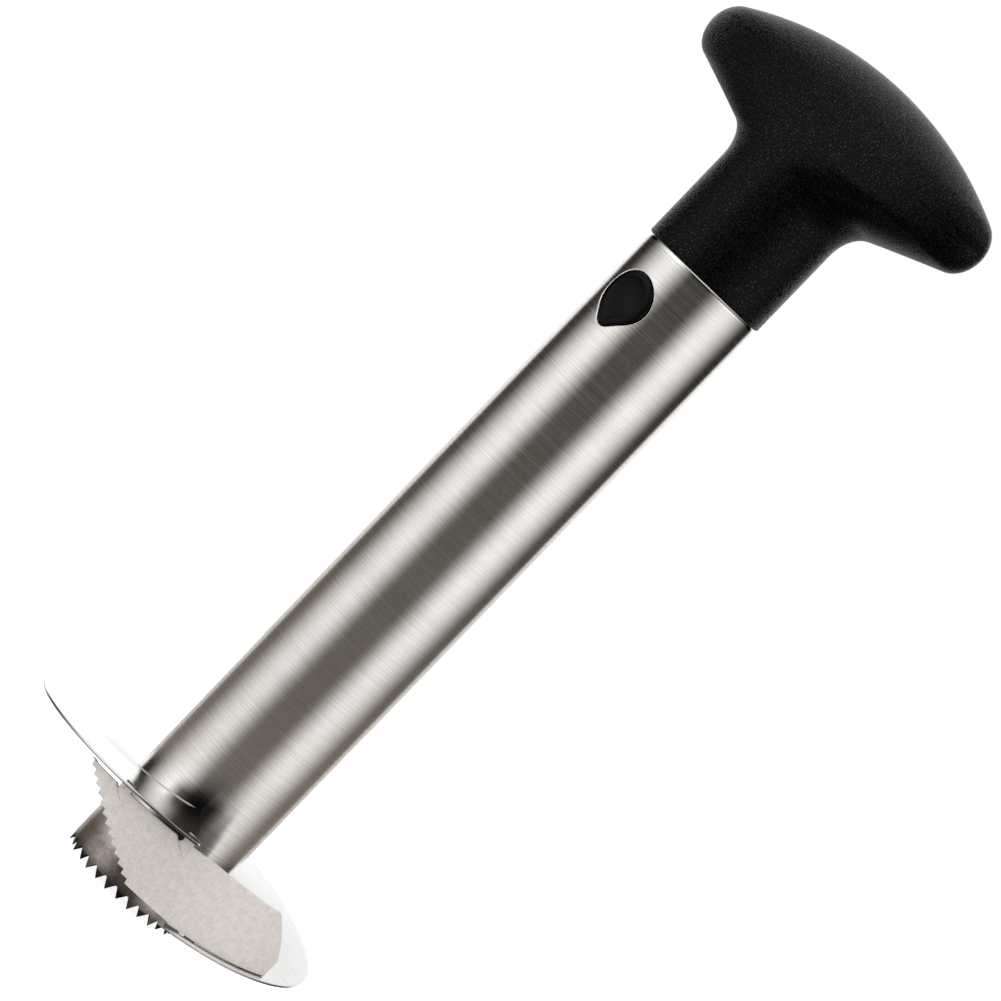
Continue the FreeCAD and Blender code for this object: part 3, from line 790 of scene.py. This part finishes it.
class NodeSheet:
    """Nodes of one tree, placed in a row. Each input is given as a value or as a socket."""

    def __init__(self, tree):
        self.tree = tree
        self.count = 0

    def add(self, kind, inputs=None, **settings):
        """New node of a kind with its settings and its inputs."""
        node = self.tree.nodes.new(kind)
        node.location = (NODE_SPACING * self.count, 0)
        self.count += 1
        for name, value in settings.items():
            setattr(node, name, value)
        for name, value in (inputs or {}).items():
            if isinstance(value, bpy.types.NodeSocket):
                self.tree.links.new(value, node.inputs[name])
            else:
                node.inputs[name].default_value = value
        return node

    def maths(self, operation, value, *others):
        """Result of an operation on a value alone, or on it and each of the others in turn."""
        for other in others or (0.0,):
            node = self.add("ShaderNodeMath", {0: value, 1: other}, operation=operation)
            value = node.outputs[0]
        return value

    def times(self, *values):
        """Product of the values."""
        return self.maths("MULTIPLY", *values)

    def plus(self, *values):
        """Sum of the values."""
        return self.maths("ADD", *values)

    def most(self, *values):
        """Largest of the values."""
        return self.maths("MAXIMUM", *values)

    def vector(self, operation, first, second=(0.0, 0.0, 0.0), output="Vector"):
        """Result of a vector operation."""
        node = self.add("ShaderNodeVectorMath", {0: first, 1: second}, operation=operation)
        return node.outputs[output]

    def ramp(self, value, low, high, start=0.0, end=1.0, kind="LINEAR"):
        """Result that goes from start to end while the value goes from low to high."""
        inputs = {"Value": value, "From Min": low, "From Max": high, "To Min": start,
                  "To Max": end}
        return self.add("ShaderNodeMapRange", inputs, interpolation_type=kind).outputs["Result"]

    def spread(self, noise, start, end):
        """Result that goes from start to end over the range that a noise mostly has."""
        return self.ramp(noise, 0.3, 0.7, start, end)

    def noise(self, place, scale, detail, roughness=0.5):
        """Noise between 0 and 1."""
        inputs = {"Vector": place, "Scale": scale, "Detail": detail, "Roughness": roughness}
        return self.add("ShaderNodeTexNoise", inputs).outputs["Fac"]

    def mix(self, factor, first, second):
        """Colour between two colours."""
        return self.add("ShaderNodeMix", {0: factor, 6: first, 7: second},
                        data_type="RGBA").outputs[2]

    def tones(self, factor, base, dark, light):
        """Colour between two shades of a base colour."""
        return self.mix(factor, shade(base, dark), shade(base, light))

    def place(self):
        """Place in the corer's own frame."""
        return self.add("ShaderNodeTexCoord").outputs["Object"]

    def parts(self, place):
        """X, Y and Z of a place."""
        return self.add("ShaderNodeSeparateXYZ", {0: place}).outputs

    def from_axis(self, place):
        """Distance of a place from the tube's axis."""
        return self.vector("LENGTH", self.vector("MULTIPLY", place, LEVEL), output="Value")

    def effect(self, name, **values):
        """Outputs of a shared effect with its own values."""
        return self.add("ShaderNodeGroup", spaced(values),
                        node_tree=bpy.data.node_groups[name]).outputs

    def bump(self, height, strength, distance):
        """Normal that a height bends."""
        inputs = {"Height": height, "Strength": strength, "Distance": distance}
        return self.add("ShaderNodeBump", inputs).outputs["Normal"]

    def principled(self, **inputs):
        """Principled shader with the given inputs."""
        return self.add("ShaderNodeBsdfPrincipled", spaced(inputs)).outputs[0]

    def surface(self, shader):
        """End the material in a shader."""
        self.add("ShaderNodeOutputMaterial", {"Surface": shader})


def spaced(values):
    """The same values under names with spaces, as sockets have them."""
    return {name.replace("_", " "): value for name, value in values.items()}


def shade(base, factor):
    """Colour times a factor, with its alpha."""
    return (base[0] * factor, base[1] * factor, base[2] * factor, 1.0)


def new_group(name, **inputs):
    """Sheet of a new shader node group with number inputs, and the sockets that give them."""
    tree = bpy.data.node_groups.new(name, "ShaderNodeTree")
    for label, default in spaced(inputs).items():
        socket = tree.interface.new_socket(label, in_out="INPUT", socket_type="NodeSocketFloat")
        socket.default_value = default
    nodes = NodeSheet(tree)
    return nodes, nodes.add("NodeGroupInput").outputs


def end_group(nodes, **outputs):
    """Number outputs of a node group, each fed by a socket."""
    for label in outputs:
        nodes.tree.interface.new_socket(label, in_out="OUTPUT", socket_type="NodeSocketFloat")
    nodes.add("NodeGroupOutput", outputs)


def brushing_group():
    """Fine lines round the Z axis: noise that is stretched along X and Y and dense along Z."""
    nodes, given = new_group("brushing", Along=60.0, Across=4000.0)
    scale = nodes.add("ShaderNodeCombineXYZ", {"X": given["Along"], "Y": given["Along"],
                                               "Z": given["Across"]}).outputs[0]
    stretched = nodes.vector("MULTIPLY", nodes.place(), scale)
    wide = nodes.vector("MULTIPLY", stretched, (0.35, 0.35, 0.045))
    end_group(nodes, Lines=nodes.noise(stretched, 1.0, 3.0, 0.65),
              Bands=nodes.noise(wide, 1.0, 2.0))


def mottle_group():
    """Cloudy patches and small specks, as rolled sheet and handled plastic show them."""
    nodes, given = new_group("mottle", Cloud_Scale=180.0, Speck_Scale=1800.0)
    place = nodes.place()
    end_group(nodes, Clouds=nodes.noise(place, given["Cloud Scale"], 5.0, 0.6),
              Specks=nodes.noise(place, given["Speck Scale"], 2.0, 0.7))


def scratch_group():
    """Sparse hairline scratches: the thin level lines of a stretched noise, in two directions."""
    nodes, given = new_group("scratches", Scale=40.0, Width=0.012)
    place = nodes.place()
    masks = []
    for turn in (0.6, 2.1):
        turned = nodes.add("ShaderNodeMapping", {"Vector": place, "Rotation": (0.3, 0.2, turn),
                                                 "Scale": (1.0, 14.0, 9.0)}).outputs[0]
        level = nodes.plus(nodes.noise(turned, given["Scale"], 1.0), -0.5)
        masks.append(nodes.maths("LESS_THAN", nodes.maths("ABSOLUTE", level), given["Width"]))
    end_group(nodes, Mask=nodes.most(*masks))


def blade_offset_group(blade):
    """Height above the helical blade's middle, wrapped to the nearest turn, and the turn.

    The blade's law is continued past its ends: the height rises steadily with the turn and
    has one slight wave.
    """
    nodes, _ = new_group("blade_offset")
    x, y, z = nodes.parts(nodes.place())
    turn = nodes.maths("ARCTAN2", x, nodes.times(y, -1.0))
    share = nodes.maths("DIVIDE", nodes.plus(turn, -blade.start), blade.sweep)
    swing = nodes.maths("SINE", nodes.times(share, FULL_TURN))
    level = nodes.plus(nodes.times(share, blade.rise), nodes.times(swing, blade.wave), blade.foot)
    pitch = blade.rise * FULL_TURN / blade.sweep
    wrapped = nodes.add("ShaderNodeMath", {0: nodes.maths("SUBTRACT", z, level), 1: pitch / 2,
                                           2: -pitch / 2}, operation="WRAP").outputs[0]
    end_group(nodes, Offset=wrapped, Turn=turn)


def cleared(owner):
    """Sheet of a material or a world that is left without nodes."""
    owner.use_nodes = True
    owner.node_tree.nodes.clear()
    return NodeSheet(owner.node_tree)


def new_material(name):
    """Sheet of a new material."""
    return cleared(bpy.data.materials.new(name))


def upper_run(nodes, height, blade):
    """Mask of what stands at the level of the helical blade's upper half or above it."""
    return nodes.ramp(height, blade.foot + 0.4 * blade.rise, blade.foot + 0.5 * blade.rise)


def brushed_tube_material(finish, tube, blade):
    """Stainless tube, brushed round its axis, so that highlights stretch along it.

    The lip is polished. The foot below the blade is warm grey and mottled: heat tint, made darker
    with painted shade. The teeth are dark, and the bore gets painted shade; so does the tube
    beside the weld at the blade's upper end. The bevels round the holes are made near-white
    and hardly metallic: a painted highlight.
    """
    nodes = new_material("brushed_steel")
    lines, bands = nodes.effect("brushing", Along=55.0, Across=4200.0)
    clouds, specks = nodes.effect("mottle", Cloud_Scale=35.0, Speck_Scale=900.0)
    offset, turn = nodes.effect("blade_offset")
    place = nodes.place()
    height = nodes.parts(place)["Z"]
    from_axis = nodes.from_axis(place)
    bore = tube.radius - tube.wall
    # Painted shade: the bore is darkened. The teeth below are darkened as well.
    inside = nodes.ramp(from_axis, bore + 0.2 * tube.wall, bore + 0.05 * tube.wall)
    low = nodes.ramp(height, 1.25 * blade.foot, 0.75 * blade.foot)
    toothed = nodes.ramp(height, TOOTHED_SHARE * tube.tooth_depth, 0.7 * tube.tooth_depth)
    lip = nodes.ramp(height, tube.top - 1.3 * tube.lip_height, tube.top - tube.lip_height)
    end = blade.start + blade.sweep - FULL_TURN
    # Painted shade: a dark patch on the tube beside the weld at the blade's upper end.
    painted_shade = nodes.times(
        nodes.ramp(turn, end - 0.65, end - 0.45), nodes.ramp(turn, end + 0.22, end + 0.04),
        nodes.ramp(offset, 0.0055, 0.0022), upper_run(nodes, height, blade),
        nodes.ramp(height, blade.foot + 1.4 * blade.rise, blade.foot + 1.3 * blade.rise))
    hole_low = hole_middle(tube) - PATCH_HALF_HEIGHT
    # Painted highlight: the hole bevels are made near-white and hardly metallic, so they read bright
    # from every side.
    ground = nodes.times(
        nodes.ramp(from_axis, tube.radius - 0.1 * tube.hole_bevel,
                   tube.radius - 0.3 * tube.hole_bevel),
        nodes.ramp(height, hole_low, hole_low + 0.001), nodes.ramp(lip, 0.0, 1.0, 1.0, 0.0))
    tone = nodes.plus(nodes.times(lines, 0.85), nodes.times(bands, 0.15))
    tint = nodes.tones(nodes.ramp(tone, 0.38, 0.62), finish.tube, 0.8, 1.03)
    # Heat tint below the blade, darkened further by painted shade.
    heat_tint_and_shade = nodes.tones(nodes.spread(specks, 0.0, 1.0), finish.foot, 0.75, 1.25)
    # In turn: heat tint with painted shade below the blade, dark teeth and the bore's painted shade,
    # the painted shade by the weld, and the polished lip with the painted highlight of the hole
    # bevels.
    for mask, colour in ((low, heat_tint_and_shade), (nodes.most(toothed, inside), shade(finish.teeth, 1.0)),
                         (nodes.times(painted_shade, 0.85), shade(finish.teeth, 0.4)),
                         (nodes.most(lip, ground), shade(finish.tube, 1.1))):
        tint = nodes.mix(mask, tint, colour)
    rough = nodes.plus(nodes.spread(lines, 0.18, 0.24), nodes.spread(clouds, -0.015, 0.015),
                       nodes.times(lip, -0.1), nodes.times(ground, 0.35))
    tangent = nodes.add("ShaderNodeTangent", direction_type="RADIAL", axis="Z").outputs[0]
    nodes.surface(nodes.principled(
        Base_Color=tint, Roughness=rough, Metallic=nodes.ramp(ground, 0.0, 1.0, 1.0, 0.15),
        Anisotropic=0.8, Anisotropic_Rotation=0.25, Tangent=tangent,
        Normal=nodes.bump(lines, 0.05, 0.00002)))


def polished_blade_material(finish, blade):
    """Mirror-polished sheet with faint rolling waves and hairline scratches.

    Beside the weld at the blade's upper end the sheet gets painted shade, but for the end's own
    edge.
    """
    nodes = new_material("polished_steel")
    clouds = nodes.effect("mottle", Cloud_Scale=26.0, Speck_Scale=600.0)["Clouds"]
    scratched = nodes.effect("scratches", Scale=55.0, Width=0.006)["Mask"]
    turn = nodes.effect("blade_offset")["Turn"]
    end = blade.start + blade.sweep - FULL_TURN
    # Painted shade on the sheet beside the weld at the blade's upper end.
    painted_shade = nodes.times(
        nodes.ramp(turn, end - 0.5, end - 0.2),
        nodes.ramp(turn, end - 0.016, end - 0.008, 1.0, 0.0),
        upper_run(nodes, nodes.parts(nodes.place())["Z"], blade))
    tint = nodes.tones(nodes.times(scratched, 0.5), finish.blade, 1.0, 0.8)
    tint = nodes.mix(nodes.times(painted_shade, 0.8), tint, shade(finish.teeth, 1.0))
    rough = nodes.plus(nodes.spread(clouds, 0.12, 0.18), nodes.times(scratched, 0.1))
    nodes.surface(nodes.principled(Base_Color=tint, Roughness=rough, Metallic=1.0,
                                   Normal=nodes.bump(clouds, 0.25, 0.0002)))


def satin_blade_material(finish, side, blade):
    """Satin rolled sheet: warm grey with cloudy patches and a fine pitted grain.

    Its inner face gets painted shade, and so do the tabs and the edges close to the helical blade.
    """
    nodes = new_material("satin_steel")
    clouds, specks = nodes.effect("mottle", Cloud_Scale=600.0, Speck_Scale=2400.0)
    tone = nodes.times(nodes.plus(clouds, specks), 0.5)
    offset = nodes.maths("ABSOLUTE", nodes.effect("blade_offset")["Offset"])
    # Painted shade where the strip and its tabs meet the helical blade.
    near = nodes.ramp(offset, blade.thickness / 2 + 1.4 * side.tab_proud,
                      blade.thickness / 2 + 1.1 * side.tab_proud)
    # Painted shade on the strip's inner face.
    inner = nodes.ramp(nodes.from_axis(nodes.place()), side.radius - 0.6 * side.thickness,
                       side.radius - 0.9 * side.thickness)
    tint = nodes.tones(nodes.ramp(tone, 0.36, 0.62), finish.side, 0.84, 1.06)
    dark = nodes.most(nodes.times(near, 0.85), nodes.times(inner, 0.7))
    nodes.surface(nodes.principled(
        Base_Color=nodes.mix(dark, tint, shade(finish.teeth, 0.4)), Metallic=0.45,
        Roughness=nodes.spread(specks, 0.50, 0.62), Normal=nodes.bump(specks, 0.4, 0.00008)))


def grip_material(finish):
    """Black moulded plastic with a pebbled leather grain, whose valleys are darkened with painted
    shade.
    """
    nodes = new_material("pebbled_plastic")
    clouds, specks = nodes.effect("mottle", Cloud_Scale=420.0, Speck_Scale=3000.0)
    place = nodes.place()
    wander = nodes.add("ShaderNodeTexNoise", {"Vector": place, "Scale": 1100.0, "Detail": 1.0})
    moved = nodes.add("ShaderNodeVectorMath", {0: wander.outputs["Color"], 1: (0.0007,) * 3,
                                               2: place}, operation="MULTIPLY_ADD")
    cells = nodes.add("ShaderNodeTexVoronoi", {"Vector": moved.outputs[0], "Scale": 1400.0},
                      feature="DISTANCE_TO_EDGE")
    domed = nodes.ramp(cells.outputs["Distance"], 0.0, 0.4, kind="SMOOTHERSTEP")
    grain = nodes.plus(domed, nodes.times(clouds, 0.2))
    # Painted shade: the base colour darkens in the valleys between the pebbles.
    nodes.surface(nodes.principled(
        Base_Color=nodes.tones(domed, finish.grip, 0.3, 0.9), Coat_Roughness=0.3,
        Coat_Weight=nodes.times(domed, 0.5), Specular_IOR_Level=0.1,
        Roughness=nodes.spread(specks, 0.22, 0.30), Normal=nodes.bump(grain, 1.0, 0.00014)))


def clouded_material(name, base, scales, shades, rough, grain, **constants):
    """Plain plastic or plated, drawn or welded steel with slight clouding."""
    nodes = new_material(name)
    mottle = nodes.effect("mottle", Cloud_Scale=scales[0], Speck_Scale=scales[1])
    nodes.surface(nodes.principled(
        Base_Color=nodes.tones(mottle["Clouds"], base, *shades),
        Roughness=nodes.ramp(mottle["Specks"], *rough),
        Normal=nodes.bump(mottle[grain[0]], *grain[1:]), **constants))


def finishes():
    """The corer's materials by name, made when they are first asked for."""
    corer = bpy.context.scene.corer
    finish = corer.finish
    if "brushed_steel" not in bpy.data.materials:
        brushing_group()
        mottle_group()
        scratch_group()
        blade_offset_group(corer.blade)
        brushed_tube_material(finish, corer.tube, corer.blade)
        polished_blade_material(finish, corer.blade)
        satin_blade_material(finish, corer.side, corer.blade)
        grip_material(finish)
        clouded_material("glossy_plastic", finish.button, (220.0, 2400.0), (0.7, 1.4),
                         (0.35, 0.7, 0.10, 0.16), ("Clouds", 0.05, 0.0001),
                         Specular_IOR_Level=0.12)
        clouded_material("plain_plastic", finish.plug, (160.0, 2000.0), (0.7, 1.4),
                         (0.3, 0.7, 0.42, 0.58), ("Specks", 0.2, 0.00005))
        for name, base, cloud_scale, low, high in (
                ("plated_steel", finish.hardware, 500.0, 0.25, 0.4),
                ("drawn_steel", finish.hardware, 900.0, 0.2, 0.35),
                ("tinted_weld", finish.weld, 700.0, 0.28, 0.45)):
            clouded_material(name, base, (cloud_scale, 2200.0), (0.8, 1.15),
                             (0.3, 0.7, low, high), ("Clouds", 0.2, 0.00006), Metallic=1.0)
    return bpy.data.materials


class CORER_OT_tube(Operator):
    """Build the coring tube with its saw teeth and teardrop holes"""
    bl_idname = "corer.tube"
    bl_label = "Coring Tube"

    def execute(self, context):
        settings = context.scene.corer
        add_piece("tube", tube_surface(settings.tube), "brushed_steel",
                  replaced=("coring_tube",))
        return {"FINISHED"}


class CORER_OT_blade(Operator):
    """Build the helical blade and its weld bead"""
    bl_idname = "corer.blade"
    bl_label = "Helical Blade"

    def execute(self, context):
        settings = context.scene.corer
        surface = blade_surface(settings.blade, settings.side, settings.tube)
        add_piece("slicing_blade", surface, "polished_steel",
                  replaced=("helical_blade",))
        add_piece("blade_weld", weld_surface(settings.blade, settings.tube), "tinted_weld")
        return {"FINISHED"}


class CORER_OT_side_blade(Operator):
    """Build the toothed side blade with its tabs"""
    bl_idname = "corer.side_blade"
    bl_label = "Side Blade"

    def execute(self, context):
        settings = context.scene.corer
        add_piece("toothed_blade", side_blade_surface(settings.side, settings.blade),
                  "satin_steel", replaced=("side_blade",))
        return {"FINISHED"}


class CORER_OT_grip(Operator):
    """Build the T-handle"""
    bl_idname = "corer.grip"
    bl_label = "Grip"

    def execute(self, context):
        settings = context.scene.corer
        add_piece("handle_grip", grip_surface(settings.grip, settings.tube),
                  "pebbled_plastic", replaced=("grip",), sharp=60)
        return {"FINISHED"}


class CORER_OT_buttons(Operator):
    """Build the two release buttons and their springs"""
    bl_idname = "corer.buttons"
    bl_label = "Release Buttons"

    def execute(self, context):
        settings = context.scene.corer
        button = settings.button
        for side, name, label in ((1, "front", "front_release"), (-1, "back", "back_release")):
            add_piece(name + "_release_button", button_surface(button, settings.tube, side),
                      "glossy_plastic", body=label,
                      replaced=(name + "_button",), sharp=50)
            spring = add_piece(name + "_button_spring",
                               spring_surface(button, settings.tube, side), "drawn_steel",
                               replaced=(name + "_spring",), sharp=80)
            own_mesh(spring)
        return {"FINISHED"}


class CORER_OT_inner_parts(Operator):
    """Finish the plug, its end cap and its screw"""
    bl_idname = "corer.inner_parts"
    bl_label = "Inner Parts"

    def execute(self, context):
        materials = finishes()
        for node, name in (("plug_housing", "plain_plastic"), ("end_cap", "plain_plastic"),
                           ("housing_screw", "plated_steel")):
            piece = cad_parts[node]
            piece.data.materials.clear()
            piece.data.materials.append(materials[name])
        return {"FINISHED"}


def stage_world(stage):
    """Studio round the object: white behind for the camera, and soft boxes for reflections.

    The boxes stand left and right of the camera's side. Their brightness depends on the
    angle from the middle of that side, in degrees: it is dark in the middle, rises smoothly
    to each box, falls again and turns into the backdrop behind the object, which is white
    low down and greyer above. High up, a light overhead takes over. Below the horizon the
    pale floor evens the boxes out, and steeply below it is dark.
    """
    world = bpy.data.worlds.new("studio")
    bpy.context.scene.world = world
    nodes = cleared(world)
    direction = nodes.add("ShaderNodeTexCoord").outputs["Generated"]
    x, y = Vector(stage.camera[:2]).normalized()
    level = nodes.vector("NORMALIZE", nodes.vector("MULTIPLY", direction, LEVEL))
    facing = nodes.vector("DOT_PRODUCT", level, (x, y, 0.0), "Value")
    sideways = nodes.vector("DOT_PRODUCT", level, (-y, x, 0.0), "Value")
    angle_off = nodes.maths("DEGREES", nodes.maths("ARCCOSINE", facing))
    rise = nodes.maths("DEGREES", nodes.maths("ARCSINE", nodes.parts(direction)["Z"]))

    def smooth(value, low, high, start, end):
        return nodes.ramp(value, low, high, start, end, "SMOOTHSTEP")

    flagged = nodes.times(nodes.ramp(sideways, -0.1, 0.5), smooth(rise, 3, 10, -0.15, 0.8))
    box = nodes.times(smooth(angle_off, 16, 58, 0.01, 1.12), smooth(angle_off, 60, 122, 1.0, 0.0),
                      nodes.maths("SUBTRACT", 1.0, flagged), smooth(rise, 25, 60, 1.0, 0.3))
    backdrop = nodes.times(smooth(angle_off, 136, 150, 0.0, 1.08),
                           smooth(rise, 12, 24, 1.0, 0.8), smooth(rise, -6, 0, 0.65, 1.0))
    studio = nodes.most(box, backdrop, smooth(rise, 18, 50, 0.0, 0.85))
    studio = nodes.mix(smooth(rise, -12, -1, 0.55, 0.0), studio, (0.45, 0.40, 0.35, 1.0))
    studio = nodes.mix(smooth(rise, -34, -14, 0.85, 0.0), studio, shade(WHITE, 0.0))
    path = nodes.add("ShaderNodeLightPath").outputs
    glossy = nodes.most(path["Is Glossy Ray"], path["Is Transmission Ray"])
    light = nodes.mix(glossy, shade(WHITE, stage.fill), studio)
    light = nodes.mix(path["Is Camera Ray"], light, shade(WHITE, stage.backdrop))
    background = nodes.add("ShaderNodeBackground", {"Color": light}).outputs[0]
    nodes.add("ShaderNodeOutputWorld", {"Surface": background})


def stage_floor(stage):
    """Pale round floor: white for the camera where nothing shades it. Inside the tube's circle its
    glow is stronger: painted light that lifts the tube's shadow there.
    """
    radii = np.linspace(0, stage.floor_radius, FLOOR_RINGS)[:, None]
    mesh = build_mesh("floor", *rings(polar(radii, circle(FLOOR_COLUMNS)[None, :], 0 * radii)))
    floor = new_object("floor", mesh)
    nodes = new_material("floor_paper")
    place = nodes.place()
    paper = nodes.principled(
        Base_Color=nodes.tones(nodes.noise(place, 60.0, 3.0), WHITE, 0.84, 0.88), Roughness=0.9)
    # Painted light: the floor glows more strongly inside the tube's circle.
    strength = nodes.ramp(nodes.from_axis(place), stage.painted_light_radius, 2.2 * stage.painted_light_radius, 0.9, 0.68)
    glow = nodes.add("ShaderNodeEmission", {"Strength": strength}).outputs[0]
    lit = nodes.add("ShaderNodeAddShader", {0: paper, 1: glow}).outputs[0]
    seen = nodes.add("ShaderNodeLightPath").outputs["Is Camera Ray"]
    nodes.surface(nodes.add("ShaderNodeMixShader", {0: seen, 1: paper, 2: lit}).outputs[0])
    mesh.materials.append(bpy.data.materials["floor_paper"])
    floor.visible_glossy = False


def add_softbox(name, azimuth, elevation, distance, size, power):
    """Lamp that faces the stage's middle, which neither the camera nor reflections show."""
    lamp = bpy.data.lights.new(name, "AREA")
    lamp.shape = "RECTANGLE"
    lamp.size, lamp.size_y = size
    lamp.energy = power
    holder = new_object(name, lamp)
    rise = math.radians(elevation)
    out = Vector(polar(math.cos(rise), math.radians(azimuth), math.sin(rise)))
    holder.location = STAGE_MIDDLE + out * distance
    holder.rotation_euler = (-out).to_track_quat("-Z", "Y").to_euler()
    holder.visible_camera = False
    holder.visible_glossy = False


def stage_camera(stage):
    """Camera of the photograph's view."""
    camera = bpy.data.cameras.new("photo_camera")
    camera.lens = stage.lens
    camera.sensor_width = SENSOR_WIDTH
    camera.clip_start = NEAR_CLIP
    camera.clip_end = FAR_CLIP
    holder = new_object("photo_camera", camera)
    look = Euler((math.pi / 2 - stage.elevation, 0, stage.azimuth), "XYZ").to_matrix()
    tilt = Euler((0, 0, stage.roll), "XYZ").to_matrix()
    holder.matrix_world = (look @ tilt).to_4x4()
    holder.location = stage.camera
    bpy.context.scene.camera = holder


class CORER_OT_stage(Operator):
    """Set up the floor, the light and the camera"""
    bl_idname = "corer.stage"
    bl_label = "Stage"

    def execute(self, context):
        stage = context.scene.corer.stage
        stage_world(stage)
        stage_floor(stage)
        facing = math.degrees(math.atan2(stage.camera[0], -stage.camera[1]))
        for name, aside, elevation, distance, size, power in (
                ("left_softbox", -62, 30, 1.2, (0.7, 1.0), 9.0),
                ("right_softbox", 62, 30, 1.2, (0.7, 1.0), 9.0),
                ("top_softbox", 10, 78, 1.1, (0.8, 0.8), 7.0)):
            add_softbox(name, facing + aside, elevation, distance, size, power)
        stage_camera(stage)
        context.scene.view_settings.view_transform = "Standard"
        return {"FINISHED"}


OPERATORS = (CORER_OT_tube, CORER_OT_blade, CORER_OT_side_blade, CORER_OT_grip,
             CORER_OT_buttons, CORER_OT_inner_parts, CORER_OT_stage)


class CORER_PT_parts(Panel):
    """Sidebar panel that lists the corer's builders"""
    bl_label = "Pineapple Corer"
    bl_space_type = "VIEW_3D"
    bl_region_type = "UI"
    bl_category = "Corer"

    def draw(self, context):
        for operator in OPERATORS:
            self.layout.operator(operator.bl_idname)


CLASSES = (CorerTubeSettings, CorerBladeSettings, CorerSideBladeSettings, CorerGripSettings,
           CorerButtonSettings, CorerFinishSettings, CorerStageSettings, CorerSettings,
           *OPERATORS, CORER_PT_parts)


def register():
    """Register the classes and the scene's settings."""
    for item in CLASSES:
        bpy.utils.register_class(item)
    bpy.types.Scene.corer = PointerProperty(type=CorerSettings)


def unregister():
    """Take the settings and the classes away again."""
    del bpy.types.Scene.corer
    for item in reversed(CLASSES):
        bpy.utils.unregister_class(item)


def main():
    """Build every piece and the stage."""
    register()
    bpy.ops.corer.tube()
    bpy.ops.corer.blade()
    bpy.ops.corer.side_blade()
    bpy.ops.corer.grip()
    bpy.ops.corer.buttons()
    bpy.ops.corer.inner_parts()
    bpy.ops.corer.stage()


if __name__ == "__main__":
    main()
